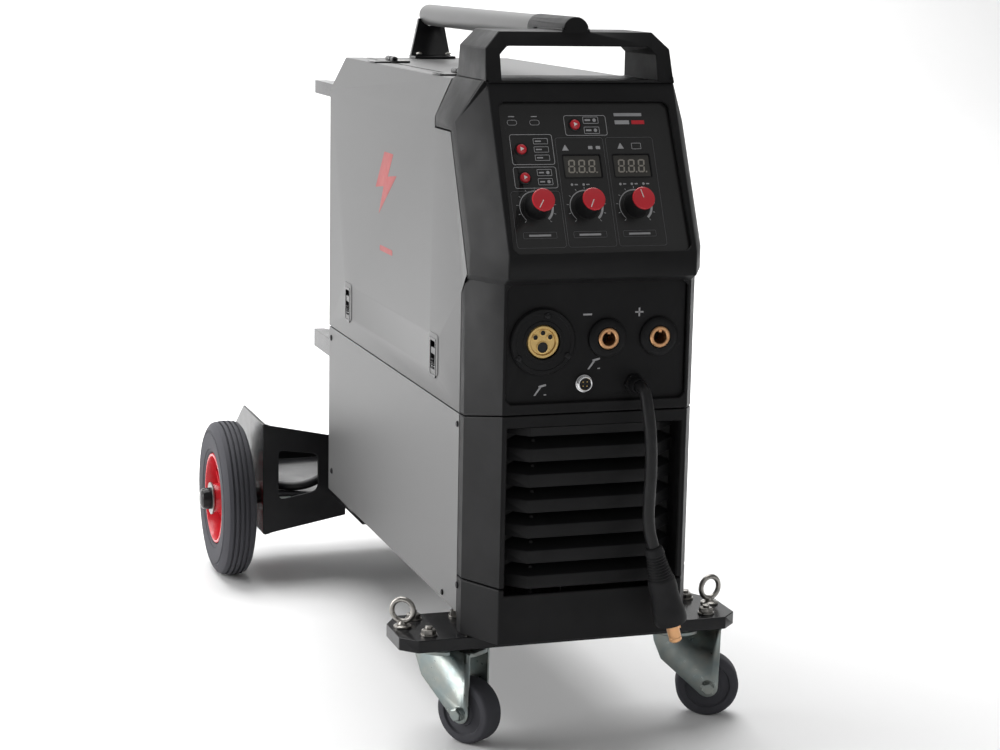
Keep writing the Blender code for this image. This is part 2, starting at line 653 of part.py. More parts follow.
def upper_fascia(machine, slope):
    gap = PANEL_GAP / 2.0
    heights = [SEAM_Z - 9.0, POCKET_HIGH_Z, CHIN_LOW_Z, CHIN_Z, KINK_Z, SHOULDER_Z]
    fascia = solid("upper_fascia", moulded(heights, REAR_Y / 3.0), "black_plastic", machine)
    hollow = [SEAM_Z - 20.0] + heights[1:-1] + [SHOULDER_Z - WALL]
    cut(fascia, tool(moulded(hollow, REAR_Y / 2.0, WALL), machine))
    cut(fascia, tool(prism(seam_side(gap, SEAM_Z - 30.0), "X", -HALF_W - 9.0, HALF_W + 9.0), machine))
    plate = block((-POCKET_HALF - 5.0, POCKET_HALF + 5.0), (SOCKET_Y, SOCKET_Y + WALL),
                  (POCKET_LOW_Z - 6.0, POCKET_HIGH_Z + 6.0))
    join(fascia, tool(plate, machine))

    loop = [(-LOOP_HALF, SHOULDER_Z - 2.0), (LOOP_HALF, SHOULDER_Z - 2.0), (CHEEK_X, LOOP_CORNER_Z),
            (LOOP_TOP_HALF, LOOP_TOP_Z), (-LOOP_TOP_HALF, LOOP_TOP_Z), (-CHEEK_X, LOOP_CORNER_Z)]
    arch = tool(prism(loop, "Y", SHOULDER_Y - 0.3, LOOP_BACK_Y), machine)
    boss = tool(rod(BOSS_R, "Y", SHOULDER_Y + 17.0, BOSS_REAR_Y, (0.0, TUBE_Z), 24), machine)
    join(fascia, arch)
    lean = [(CHIN_Y - 5.0, SHOULDER_Z - 1.9), (SHOULDER_Y - 0.6, SHOULDER_Z - 1.9), (SHOULDER_Y, SHOULDER_Z),
            (SHOULDER_Y + 9.0, LOOP_CORNER_Z), (SHOULDER_Y + 17.6, LOOP_TOP_Z),
            (SHOULDER_Y + 17.6, LOOP_TOP_Z + 20.0), (CHIN_Y - 5.0, LOOP_TOP_Z + 20.0)]
    cut(fascia, tool(prism(lean, "X", -HALF_W, HALF_W), machine))
    cut(fascia, tool(prism(behind_seam(), "X", -HALF_W - 20.0, HALF_W + 20.0), machine))
    join(fascia, boss)

    side = LOOP_HALF - LOOP_SIDE
    bar = LOOP_TOP_Z - LOOP_BAR
    window = [(-side, SHOULDER_Z), (side, SHOULDER_Z), (side, bar - 8.0), (side - 8.0, bar),
              (-side + 8.0, bar), (-side, bar - 8.0)]
    cut(fascia, tool(prism(window, "Y", CHIN_Y, LOOP_BACK_Y + 10.0), machine))

    chamfer = 5.0
    opening = [(-PANEL_LOW_HALF + chamfer, PANEL_BOTTOM), (PANEL_LOW_HALF - chamfer, PANEL_BOTTOM),
               (PANEL_LOW_HALF, PANEL_BOTTOM + chamfer), (PANEL_HIGH_HALF, PANEL_TOP - chamfer),
               (PANEL_HIGH_HALF - chamfer, PANEL_TOP), (-PANEL_HIGH_HALF + chamfer, PANEL_TOP),
               (-PANEL_HIGH_HALF, PANEL_TOP - chamfer), (-PANEL_LOW_HALF, PANEL_BOTTOM + chamfer)]
    cut(fascia, tool(prism(opening, "Y", -10.0, 14.0), slope))

    pocket = [(-POCKET_HALF + chamfer, POCKET_LOW_Z), (POCKET_HALF - chamfer, POCKET_LOW_Z),
              (POCKET_HALF, POCKET_LOW_Z + chamfer), (POCKET_HALF, POCKET_HIGH_Z - chamfer),
              (POCKET_HALF - chamfer, POCKET_HIGH_Z), (-POCKET_HALF + chamfer, POCKET_HIGH_Z),
              (-POCKET_HALF, POCKET_HIGH_Z - chamfer), (-POCKET_HALF, POCKET_LOW_Z + chamfer)]
    cut(fascia, tool(prism(pocket, "Y", CHIN_Y - 10.0, SOCKET_Y), machine))
    holes = [(TORCH_BRASS_R, TORCH_AT), (DINSE_R, NEGATIVE_AT), (DINSE_R, POSITIVE_AT),
             (CONTROL_R - 2.0, CONTROL_AT), (GLAND_R - 2.5, LEAD_AT)]
    for radius, centre in holes:
        hole = rod(radius + 0.8, "Y", CHIN_Y, SOCKET_Y + 3.0 * WALL, centre)
        cut(fascia, tool(hole, machine))


def louvre(middle):
    """One grille blade: a front lip, then a slope up and back, its ends angled back."""
    half = LOUVRE_LIP / 2.0
    blade = [(0.0, -half), (0.0, half), (GRILLE_DEPTH, half + 10.0), (GRILLE_DEPTH, half + 7.0), (3.0, -half)]
    end_x = GRILLE_HALF + 2.0
    back = end_x - LOUVRE_KINK_X
    stations = [(-end_x, back), (-LOUVRE_KINK_X, 0.0), (LOUVRE_KINK_X, 0.0), (end_x, back)]
    return skin([[(x, FRONT_Y + 0.6 + shift + y, middle + z) for y, z in blade] for x, shift in stations])


def lower_fascia(machine):
    gap = PANEL_GAP / 2.0
    low, high = PLINTH_Z + gap, SEAM_Z + SEAM_RISE
    fascia = solid("lower_fascia", moulded([low, high], SEAM_Y), "black_plastic", machine)
    cut(fascia, tool(moulded([low - 9.0, high + 9.0], 0.0, WALL), machine))
    cut(fascia, tool(prism(seam_side(-gap, high + 20.0), "X", -HALF_W - 9.0, HALF_W + 9.0), machine))
    opening = block((-GRILLE_HALF, GRILLE_HALF), (FRONT_Y - 9.0, FRONT_Y + WALL + 2.0),
                    (low - 9.0, LOUVRE_TOP_Z + LOUVRE_LIP - 4.0))
    cut(fascia, tool(opening, machine))
    for side in (-1, 1):
        inner, outer = sorted((side * (GRILLE_HALF - 0.4), side * (GRILLE_HALF + 2.6)))
        wall = block((inner, outer), (FRONT_Y + 2.0, FRONT_Y + CHEEK_DEPTH), (low, SEAM_Z - 3.0))
        join(fascia, tool(wall, machine))
    for i in range(LOUVRES):
        middle = LOUVRE_TOP_Z + LOUVRE_LIP / 2.0 - i * LOUVRE_PITCH
        join(fascia, tool(louvre(middle), machine))


def base_moulding(machine):
    gap = PANEL_GAP / 2.0
    high = PLINTH_Z - gap
    base = solid("base_moulding", moulded([BASE_LIP_Z, high], SEAM_Y), "black_plastic", machine)
    cut(base, tool(moulded([BASE_LIP_Z - 9.0, high + 9.0], 0.0, WALL), machine))
    notch = block((-GRILLE_HALF, GRILLE_HALF), (CHIN_Y, FRONT_Y + 2.0 * WALL), (SILL_Z, high + 9.0))
    cut(base, tool(notch, machine))


def handle(machine):
    profile = [(0.0, TUBE_REAR_Y), (TUBE_R - 2.0, TUBE_REAR_Y), (TUBE_R, TUBE_REAR_Y - 2.0),
               (TUBE_R, BOSS_REAR_Y + CLEAR), (TUBE_R - TUBE_WALL, BOSS_REAR_Y + CLEAR),
               (TUBE_R - TUBE_WALL, TUBE_REAR_Y - 3.0), (0.0, TUBE_REAR_Y - 3.0)]
    solid("handle_tube", turned(profile, "Y", 24, (0.0, TUBE_Z)), "powder_coat", machine)
    foot_z = TOP_Z + CLEAR
    outline = [(-POST_BASE, foot_z), (POST_BASE, foot_z), (POST_TOP, TUBE_Z - 4.0), (-POST_TOP, TUBE_Z - 4.0)]
    post = solid("handle_post", prism(outline, "Y", POST_Y, POST_Y + POST_T), "gloss_black", machine)
    foot = block((-POST_BASE, POST_BASE), (POST_Y - 22.0, POST_Y + POST_T), (foot_z, foot_z + 3.0))
    join(post, tool(foot, machine))
    cut(post, tool(rod(TUBE_R + CLEAR, "Y", POST_Y - 9.0, POST_Y + POST_T + 9.0, (0.0, TUBE_Z), 24), machine))


def control_panel(slope):
    low = PANEL_BOTTOM - PANEL_LAP
    high = PANEL_TOP + PANEL_LAP
    outline = [(-PANEL_LOW_HALF - PANEL_LAP, low), (PANEL_LOW_HALF + PANEL_LAP, low),
               (PANEL_HIGH_HALF + PANEL_LAP, high), (-PANEL_HIGH_HALF - PANEL_LAP, high)]
    panel = solid("control_panel", prism(outline, "Y", RECESS, RECESS + PANEL_T), "panel_film", slope)
    for centre in DISPLAYS.values():
        window = prism(rounded(DISPLAY_W / 2.0, DISPLAY_H / 2.0, 1.0, centre, 2), "Y", 0.0, 20.0)
        cut(panel, tool(window, slope))
    for x in KNOB_XS.values():
        cut(panel, tool(rod(SHAFT_R + 0.6, "Y", 0.0, 20.0, (x, KNOB_V), 12), slope))
    for centre in BUTTONS.values():
        cut(panel, tool(rod(BUTTON_R + 0.4, "Y", 0.0, 20.0, centre, 14), slope))


def panel_pieces(slope):
    back = RECESS + PANEL_T
    for name, (x, v) in DISPLAYS.items():
        face = prism(rounded(DISPLAY_W / 2.0 - CLEAR, DISPLAY_H / 2.0 - CLEAR, 0.8, (0.0, 0.0), 2),
                     "Y", RECESS + 0.5, back + 10.0)
        solid(name, face, "display_window", slope, (x, 0.0, v))
    for name, x in KNOB_XS.items():
        front = RECESS - 1.0 - KNOB_H
        profile = [(0.0, front), (KNOB_R - 1.2, front), (KNOB_R, front + 1.2), (KNOB_R + 0.8, RECESS - 1.0),
                   (SHAFT_R, RECESS - 1.0), (SHAFT_R, back + 8.0), (0.0, back + 8.0)]
        solid(name, turned(profile, "Y", 20), "red_plastic", slope, (x, 0.0, KNOB_V))
    for name, (x, v) in BUTTONS.items():
        front = RECESS - BUTTON_PROUD
        profile = [(0.0, front), (BUTTON_R - 0.8, front), (BUTTON_R, front + 0.8), (BUTTON_R, back + CLEAR),
                   (BUTTON_R + 1.5, back + CLEAR), (BUTTON_R + 1.5, back + 3.0), (0.0, back + 3.0)]
        solid(name, turned(profile, "Y", 14), "red_plastic", slope, (x, 0.0, v))


def torch_socket(machine):
    face = SOCKET_Y - CLEAR
    flange = turned([(TORCH_BRASS_R + 0.4, face), (TORCH_BRASS_R + 0.4, face - 4.0),
                     (TORCH_FLANGE_R - 1.5, face - 4.0), (TORCH_FLANGE_R, face - 2.5), (TORCH_FLANGE_R, face)],
                    "Y", 36, TORCH_AT)
    solid("torch_flange", flange, "black_plastic", machine)
    brass = solid("torch_socket", rod(TORCH_BRASS_R, "Y", face - 3.0, SOCKET_Y + 30.0, TORCH_AT, 20),
                  "brass", machine)
    x, z = TORCH_AT
    bores = [(5.3, (x, z - 5.5)), (2.2, (x - 7.5, z + 4.5)), (2.2, (x, z + 8.5)), (2.2, (x + 7.5, z + 4.5))]
    for radius, centre in bores:
        cut(brass, tool(rod(radius, "Y", face - 9.0, SOCKET_Y + 18.0, centre, 12), machine))


def power_sockets(machine):
    face = SOCKET_Y - CLEAR
    for name, centre in (("negative_socket", NEGATIVE_AT), ("positive_socket", POSITIVE_AT)):
        profile = [(DINSE_BORE, face - 7.0), (DINSE_R, face - 7.0), (DINSE_R, face - 4.0),
                   (DINSE_RING_R - 1.0, face - 4.0), (DINSE_RING_R, face - 3.0), (DINSE_RING_R, face),
                   (DINSE_R, face), (DINSE_R, face + 32.0), (0.0, face + 32.0), (0.0, face - 7.0 + DINSE_DEPTH),
                   (DINSE_BORE, face - 7.0 + DINSE_DEPTH)]
        turned_ring = profile[9:] + profile[:9]
        solid(name, turned(turned_ring, "Y", 18, centre), "copper", machine)


def small_fittings(machine):
    face = SOCKET_Y - CLEAR
    r = CONTROL_R
    socket = [(0.0, face - 2.5), (r - 2.6, face - 2.5), (r - 2.6, face - 6.0), (r - 1.0, face - 6.0),
              (r - 1.0, face - 2.0), (r, face - 2.0), (r, face), (r - 2.2, face), (r - 2.2, face + 14.0),
              (0.0, face + 14.0)]
    solid("control_socket", turned(socket, "Y", 16, CONTROL_AT), "chrome", machine)
    r = GLAND_R
    gland = [(0.0, GLAND_TIP_Y), (r - 2.6, GLAND_TIP_Y), (r - 1.0, GLAND_TIP_Y + 3.0), (r - 0.5, face - 5.0),
             (r, face - 5.0), (r, face), (r - 2.8, face), (r - 2.8, face + 14.0), (0.0, face + 14.0)]
    solid("lead_gland", turned(gland, "Y", 16, LEAD_AT), "black_plastic", machine)
    r = 11.0
    start = REAR_Y
    tip = REAR_Y + MAINS_GLAND_L
    gland = [(0.0, start - 14.0), (8.0, start - 14.0), (8.0, start), (r, start), (r, start + 7.0),
             (r - 1.0, start + 7.0), (r - 1.5, start + 14.0), (MAINS_D / 2.0 + 1.2, tip), (0.0, tip)]
    solid("mains_gland", turned(gland, "Y", 16, MAINS_AT), "black_plastic", machine)


def polarity_lead(machine):
    cord("polarity_lead", LEAD_ROUTE, LEAD_D, machine)
    top = Vector(LEAD_ROUTE[-1])
    heading = top - Vector(LEAD_ROUTE[-2])
    turn = heading.to_track_quat("Z", "Y").to_euler()
    profile = [(0.0, 2.0 * CLEAR), (9.0, 2.0 * CLEAR), (10.5, 3.0), (11.0, 24.0), (13.5, 34.0), (16.5, PLUG_L - 4.0),
               (15.5, PLUG_L), (PLUG_PIN_R + 1.5, PLUG_L), (PLUG_PIN_R + 1.5, PLUG_L + 2.0),
               (PLUG_PIN_R, PLUG_L + 2.0), (PLUG_PIN_R, PLUG_L + PLUG_PIN_L - 1.5),
               (PLUG_PIN_R - 1.5, PLUG_L + PLUG_PIN_L), (0.0, PLUG_L + PLUG_PIN_L)]
    solid("lead_plug", turned(profile, "Z", 16), "black_rubber", machine, top, turn)


def front_plate(machine):
    x, front, back, c = PLATE_HALF, PLATE_FRONT_Y, PLATE_BACK_Y, PLATE_CORNER

    def outline(inset):
        wide, near, far = x - inset, front + inset, back - inset
        return [(-wide + c, near), (wide - c, near), (wide, near + c), (wide, far - c * 1.6),
                (wide - c, far), (-wide + c, far), (-wide, far - c * 1.6), (-wide, near + c)]

    plate = solid("front_plate", prism(outline(0.0), "Z", PLATE_TOP_Z - PLATE_FLANGE, PLATE_TOP_Z),
                  "gloss_black", machine)
    inside = prism(outline(3.0), "Z", PLATE_TOP_Z - PLATE_FLANGE - 9.0, PLATE_TOP_Z - PLATE_T)
    cut(plate, tool(inside, machine))
    for side in (-1, 1):
        spots = [(side * CASTER_X + u * CASTER_BOLTS[0], CASTER_Y + v * CASTER_BOLTS[1])
                 for u in (-1, 1) for v in (-1, 1)]
        for spot in spots + [(side * EYE_X, EYE_Y)]:
            hole = rod(BOLT_R + 0.9, "Z", PLATE_TOP_Z - 20.0, PLATE_TOP_Z + 9.0, spot, 8)
            cut(plate, tool(hole, machine))


def caster(machine, side, name, heading):
    x = side * CASTER_X
    under = PLATE_TOP_Z - PLATE_T - CLEAR
    swivel = empty(f"{name}_swivel", (x, CASTER_Y, 0.0), machine, (0.0, 0.0, heading))
    body = prism(rounded(31.0, 36.0, 6.0, (x, CASTER_Y), 1), "Z", under - 3.0, under)
    plate = solid(f"{name}_caster_plate", body, "zinc", machine)
    race = turned([(0.0, under - 1.0), (22.0, under - 1.0), (22.0, under - 9.0), (20.0, under - 11.5),
                   (5.0, under - 11.5), (5.0, under - 23.0), (0.0, under - 23.0)], "Z", 16, (x, CASTER_Y))
    join(plate, tool(race, machine))
    for u in (-1, 1):
        for v in (-1, 1):
            spot = (x + u * CASTER_BOLTS[0], CASTER_Y + v * CASTER_BOLTS[1])
            stem = turned([(0.0, under - 8.0), (6.5, under - 8.0), (6.5, under - 2.0), (BOLT_R, under - 2.0),
                           (BOLT_R, PLATE_TOP_Z + CLEAR), (7.4, PLATE_TOP_Z + CLEAR),
                           (7.4, PLATE_TOP_Z + 5.0), (0.0, PLATE_TOP_Z + 5.0)], "Z", 6, spot)
            join(plate, tool(stem, machine))

    crown_top = under - 12.0
    crown_low = crown_top - 5.0
    inner = CASTER_WIDTH / 2.0 + FORK_GAP
    outer = inner + FORK_T
    crown_at = ((FORK_FRONT + FORK_BACK) / 2.0, 0.0)
    crown = prism(rounded((FORK_FRONT - FORK_BACK) / 2.0 + 1.0, outer, 8.0, crown_at, 3), "Z", crown_low, crown_top)
    fork = solid(f"{name}_caster_fork", crown, "zinc", swivel)
    leg = ([(FORK_BACK, crown_top - 1.0), (FORK_BACK + 2.0, crown_low - 10.0), (FORK_BACK + 10.0, crown_low - 30.0)]
           + arc((CASTER_TRAIL, CASTER_R), CASTER_LEG_R, 225.0, 360.0, 6) + [(FORK_FRONT, crown_top - 1.0)])
    for sign in (-1, 1):
        low, high = sorted((sign * inner, sign * outer))
        join(fork, tool(prism(leg, "Y", low, high), swivel))
    at_axle = (CASTER_TRAIL, CASTER_R)
    axle = turned([(0.0, -outer - 5.0), (7.0, -outer - 5.0), (7.0, -outer), (4.0, -outer), (4.0, outer),
                   (7.0, outer), (7.0, outer + 5.0), (0.0, outer + 5.0)], "Y", 16, at_axle)
    join(fork, tool(axle, swivel))
    cut(fork, tool(rod(5.5, "Z", crown_low - 9.0, crown_top + 9.0, (0.0, 0.0), 16), swivel))

    half = CASTER_WIDTH / 2.0
    tread = [(4.5, -half - 1.2), (12.0, -half - 1.2), (13.0, -half), (CASTER_R - 4.0, -half),
             (CASTER_R, -half + 6.0), (CASTER_R, half - 6.0), (CASTER_R - 4.0, half), (13.0, half),
             (12.0, half + 1.2), (4.5, half + 1.2)]
    hub = empty(f"{name}_caster_axle", (CASTER_TRAIL, 0.0, CASTER_R), swivel)
    solid(f"{name}_caster_wheel", turned(tread, "Y", 24), "wheel_rubber", hub)


def eye_bolt(machine, side, name, turn):
    spot = (side * EYE_X, EYE_Y)
    under = PLATE_TOP_Z - PLATE_T
    foot = turned([(0.0, under - 9.0), (6.5, under - 9.0), (6.5, under - CLEAR), (BOLT_R, under - CLEAR),
                   (BOLT_R, PLATE_TOP_Z + CLEAR), (8.0, PLATE_TOP_Z + CLEAR), (8.0, PLATE_TOP_Z + 2.5),
                   (4.5, PLATE_TOP_Z + 6.0), (0.0, PLATE_TOP_Z + 6.0)], "Z", 10)
    bolt = solid(f"{name}_eye_bolt", foot, "steel", machine, (*spot, 0.0), (0.0, 0.0, turn))
    wire = [(EYE_R + EYE_WIRE_R * math.cos(t), EYE_WIRE_R * math.sin(t))
            for t in [math.tau * i / 6 for i in range(6)]]
    ring = turned(wire, "Y", 20)
    lift = PLATE_TOP_Z + 3.4 + EYE_R + EYE_WIRE_R
    join(bolt, tool(ring, machine, (*spot, lift), (0.0, 0.0, turn)))


def bottle_tray(machine):
    floor = block((-TRAY_HALF, TRAY_HALF), (TRAY_FRONT_Y, TRAY_REAR_Y - 1.0), (TRAY_Z - TRAY_T, TRAY_Z))
    tray = solid("bottle_tray", floor, "gloss_black", machine)
    tongue = block((-TRAY_INNER - 18.0, TRAY_INNER + 18.0), (TRAY_TONGUE_Y, TRAY_FRONT_Y + 5.0), (TRAY_Z - TRAY_T, TRAY_Z))
    lip = block((-TRAY_HALF, TRAY_HALF), (TRAY_REAR_Y - TRAY_T, TRAY_REAR_Y), (TRAY_Z - TRAY_T, TRAY_Z + TRAY_LIP))
    join(tray, tool(tongue, machine), tool(lip, machine))
    low = SIDE_TOP_Z - SIDE_TALL
    side = [(TRAY_FRONT_Y, low), (TRAY_FRONT_Y, SIDE_TOP_Z), (SIDE_PEAK_Y, SIDE_TOP_Z),
            (TRAY_REAR_Y, TRAY_Z + 42.0), (TRAY_REAR_Y, TRAY_Z - TRAY_T), (SIDE_PEAK_Y, low)]
    front = [(TRAY_HALF, low), (TRAY_HALF, SIDE_TOP_Z), (TRAY_INNER, SIDE_TOP_Z - 22.0),
             (TRAY_INNER, low + 19.0)]
    window = [(TRAY_HALF - 20.0, TRAY_Z - 6.0), (TRAY_HALF - 20.0, TRAY_Z + 58.0),
              (TRAY_HALF - 70.0, TRAY_Z + 51.0), (TRAY_HALF - 70.0, TRAY_Z + 4.0)]
    corner = 8.0
    for sign in (-1, 1):
        inner, outer = sorted((sign * (TRAY_HALF - TRAY_T), sign * TRAY_HALF))
        join(tray, tool(prism(side, "X", inner, outer), machine))
        wing = [(sign * x, z) for x, z in front]
        join(tray, tool(prism(wing, "Y", TRAY_FRONT_Y - 0.01, TRAY_FRONT_Y + TRAY_T), machine))
        hole = [(sign * x, z) for x, z in softened(window, corner)]
        cut(tray, tool(prism(hole, "Y", TRAY_FRONT_Y - 9.0, TRAY_FRONT_Y + TRAY_T + 2.0), machine))
    cut(tray, tool(rod(AXLE_R + 0.4, "X", -TRAY_HALF - 9.0, TRAY_HALF + 9.0, (WHEEL_Y, WHEEL_R)), machine))


def softened(outline, radius, steps=4):
    """Round every corner of an outline with a quadratic curve."""
    points = []
    count = len(outline)
    for i, corner in enumerate(outline):
        here = Vector(corner)
        before = here + (Vector(outline[i - 1]) - here).normalized() * radius
        after = here + (Vector(outline[(i + 1) % count]) - here).normalized() * radius
        for step in range(steps + 1):
            t = step / steps
            points.append(tuple(before * (1 - t) ** 2 + here * 2 * t * (1 - t) + after * t * t))
    return points


def rear_wheels(machine):
    at = (WHEEL_Y, WHEEL_R)
    end = AXLE_END
    profile = [(0.0, -end), (CAP_R - 1.5, -end), (CAP_R, -end + 1.5), (CAP_R, -end + 12.0),
               (AXLE_R, -end + 12.0), (AXLE_R, end - 12.0), (CAP_R, end - 12.0), (CAP_R, end - 1.5),
               (CAP_R - 1.5, end), (0.0, end)]
    solid("rear_axle", turned(profile, "X", 16, at), "zinc", machine)
    for side, name in ((-1, "left"), (1, "right")):
        hub = empty(f"{name}_wheel_axle", (0.0, WHEEL_Y, WHEEL_R), machine)

        def across(points):
            return [(radius, side * x) for radius, x in points]

        near, far = WHEEL_X, WHEEL_X + WHEEL_W
        middle = (near + far) / 2.0
        r = WHEEL_R
        tread = [(RIM_R, near + 4.0), (r - 16.0, near), (r - 4.0, near + 4.0), (r, near + 13.0),
                 (r, far - 13.0), (r - 4.0, far - 4.0), (r - 16.0, far), (RIM_R, far - 4.0)]
        solid(f"{name}_tyre", turned(across(tread), "X", 32), "wheel_rubber", hub)
        rim_r = RIM_R - 2.0 * CLEAR
        rim = [(AXLE_R + 0.4, near - 4.0), (18.0, near - 4.0), (18.0, middle - 3.0), (rim_r - 6.0, middle - 3.0),
               (rim_r - 5.0, near + 5.0), (rim_r, near + 5.0), (rim_r, far - 5.0), (rim_r - 5.0, far - 5.0),
               (rim_r - 6.0, middle + 3.0), (18.0, middle + 3.0), (18.0, far - 1.0), (AXLE_R + 0.4, far - 1.0)]
        solid(f"{name}_rim", turned(across(rim), "X", 20), "red_plastic", hub)


def bottle_brackets(machine):
    start = REAR_Y + CLEAR
    for name, (low, tall) in BRACKETS.items():
        reach = math.degrees(math.asin((BRACKET_REAR_Y - BOTTLE_Y) / BOTTLE_R))
        bay = arc((0.0, BOTTLE_Y), BOTTLE_R, 180.0 - reach, 360.0 + reach, 20)
        outline = ([(BRACKET_HALF, start), (BRACKET_HALF, BRACKET_REAR_Y)] + bay[::-1]
                   + [(-BRACKET_HALF, BRACKET_REAR_Y), (-BRACKET_HALF, start)])
        bracket = solid(name, prism(outline, "Z", low + tall - 3.0, low + tall), "gloss_black", machine)
        web = block((-BRACKET_HALF, BRACKET_HALF), (start, start + 3.0), (low, low + tall - 0.5))
        join(bracket, tool(web, machine))
        for sign in (-1, 1):
            inner, outer = sorted((sign * (BRACKET_HALF - 2.5), sign * BRACKET_HALF))
            arm = block((inner, outer), (start, BRACKET_REAR_Y), (low, low + tall - 0.5))
            join(bracket, tool(arm, machine))


def wire_side(machine):
    near, far = SPOOL_NEAR_X, SPOOL_NEAR_X - SPOOL_WIDTH
    spool = empty("spool_axis", (0.0, SPOOL_Y, SPOOL_Z), machine)
    profile = [(SPOOL_BORE, near), (SPOOL_R, near), (SPOOL_R, near - 4.0), (SPOOL_R - 12.0, near - 4.0),
               (SPOOL_R - 12.0, far + 4.0), (SPOOL_R, far + 4.0), (SPOOL_R, far), (SPOOL_BORE, far)]
    solid("wire_spool", turned(profile, "X", 24), "spool_plastic", spool)

    wire_z = TORCH_AT[1]
    x = FEED_PLATE_X
    plate = prism(rounded(55.0, 50.0, 6.0, (FEED_Y + 2.0, wire_z + 3.0), 3), "X", x, x + 4.0)
    motor = solid("feeder_motor", plate, "aluminium", machine)
    can = rod(MOTOR_R, "X", x + 3.0, 46.0, (FEED_Y, wire_z), 20)
    join(motor, tool(can, machine))
    for u in (-1, 1):
        for v in (-1, 1):
            spot = (FEED_Y + 2.0 + u * 46.0, wire_z + 3.0 + v * 41.0)
            join(motor, tool(rod(5.0, "X", x + 3.0, -DIVIDER_T - CLEAR, spot, 12), machine))

    middle = TORCH_AT[0]
    roll_z = wire_z - ROLL_R - 0.5
    drive = empty("drive_axis", (0.0, FEED_Y, roll_z), machine)
    profile = [(0.0, middle - ROLL_W / 2.0 - 6.0), (6.0, middle - ROLL_W / 2.0 - 6.0),
               (6.0, middle - ROLL_W / 2.0), (ROLL_R, middle - ROLL_W / 2.0), (ROLL_R, middle + ROLL_W / 2.0),
               (4.0, middle + ROLL_W / 2.0), (4.0, x - CLEAR), (0.0, x - CLEAR)]
    solid("drive_roll", turned(profile, "X", 20), "steel", drive)

    pivot = empty("arm_axis", (0.0, *ARM_PIVOT), machine)
    arm_y, arm_z = FEED_Y - ARM_PIVOT[0], wire_z - ARM_PIVOT[1]
    low, high = middle - ROLL_W / 2.0, middle + ROLL_W / 2.0
    outline = [(-10.0, -6.0), (6.0, -8.0), (arm_y + 26.0, -4.0), (arm_y + 30.0, 8.0), (arm_y, 16.0), (-6.0, 10.0)]
    arm = solid("pressure_arm", prism(outline, "X", low - 2.0, high + 2.0), "aluminium", pivot)
    press = rod(ROLL_R, "X", low, high, (arm_y, arm_z + ROLL_R + 0.7), 20)
    boss = rod(6.0, "X", low - 2.0, x - CLEAR, (0.0, 0.0), 16)
    spring = rod(6.5, "Z", 4.0, 42.0, (middle, arm_y + 18.0), 16)
    join(arm, tool(press, pivot), tool(boss, pivot), tool(spring, pivot))


def power_side(machine):
    fins = 9
    pitch = 10.0
    left, low = 12.0, BASE_Z + 6.0
    outline = [(left, low + 80.0), (left, low + 100.0)]
    for i in range(fins):
        x = left + 2.0 + i * pitch
        outline += [(x, low + 100.0), (x, low + 160.0), (x + 3.0, low + 160.0), (x + 3.0, low + 100.0)]
    outline += [(left + 92.0, low + 100.0), (left + 92.0, low + 80.0), (left + 80.0, low + 80.0),
                (left + 80.0, low), (left + 12.0, low), (left + 12.0, low + 80.0)]
    solid("power_block", prism(outline[1:], "Y", 60.0, 420.0), "aluminium", machine)

    fan = empty("fan_axis", (FAN_AT[0], REAR_Y, FAN_AT[1]), machine)
    rotor = solid("fan_rotor", rod(14.0, "Y", -26.0, -SHEET - 2.0 * CLEAR - 2.0, (0.0, 0.0), 24),
                  "black_plastic", fan)
    blades = 7
    for i in range(blades):
        turn = math.tau * i / blades
        root = [(-7.0, -24.0), (7.0, -7.0), (8.5, -9.0), (-5.5, -26.0)]
        blade = skin([[(u * spread, y, r) for u, y in root] for r, spread in ((11.0, 0.8), (FAN_R, 1.5))])
        join(rotor, tool(blade, fan, (0.0, 0.0, 0.0), (0.0, turn, 0.0)))


def mains_switch(machine):
    knob = empty("switch_axis", (SWITCH_AT[0], REAR_Y, SWITCH_AT[1]), machine)
    r = SWITCH_R
    profile = [(0.0, -12.0), (4.8, -12.0), (4.8, CLEAR), (r, CLEAR), (r, 5.0), (r - 2.0, 7.0), (0.0, 7.0)]
    switch = solid("mains_switch", turned(profile, "Y", 20), "red_plastic", knob)
    grip = block((-4.0, 4.0), (5.0, 20.0), (-r + 3.0, r - 3.0))
    join(switch, tool(grip, knob))


def mains_lead(machine):
    cord("mains_cable", MAINS_ROUTE, MAINS_D, machine)
    half = MAINS_D * COIL_ACROSS / 2.0
    tall = MAINS_D * COIL_LAYERS
    low = CLEAR
    inner, outer = COIL_MEAN_R - half, COIL_MEAN_R + half
    ring = [(inner, low), (outer, low), (outer, low + tall), (inner, low + tall)]
    solid("mains_coil", turned(ring, "Z", 32, COIL_AT), "cable_jacket", machine)


def mains_plug(machine):
    """A round moulded plug with two pins, lying on the coil with its tail down."""
    turn = PLUG_HEADING.to_track_quat("Z", "Y").to_euler()
    body = [(0.0, 0.0), (6.5, 0.0), (8.0, 18.0), (17.0, 30.0), (19.0, 50.0), (18.0, 53.0), (0.0, 53.0)]
    plug = solid("mains_plug", turned(body, "Z", 18), "black_rubber", machine, MAINS_PLUG_AT, turn)
    for x in (-9.5, 9.5):
        join(plug, tool(rod(2.4, "Z", 51.0, 71.0, (x, 0.0), 12), machine, MAINS_PLUG_AT, turn))


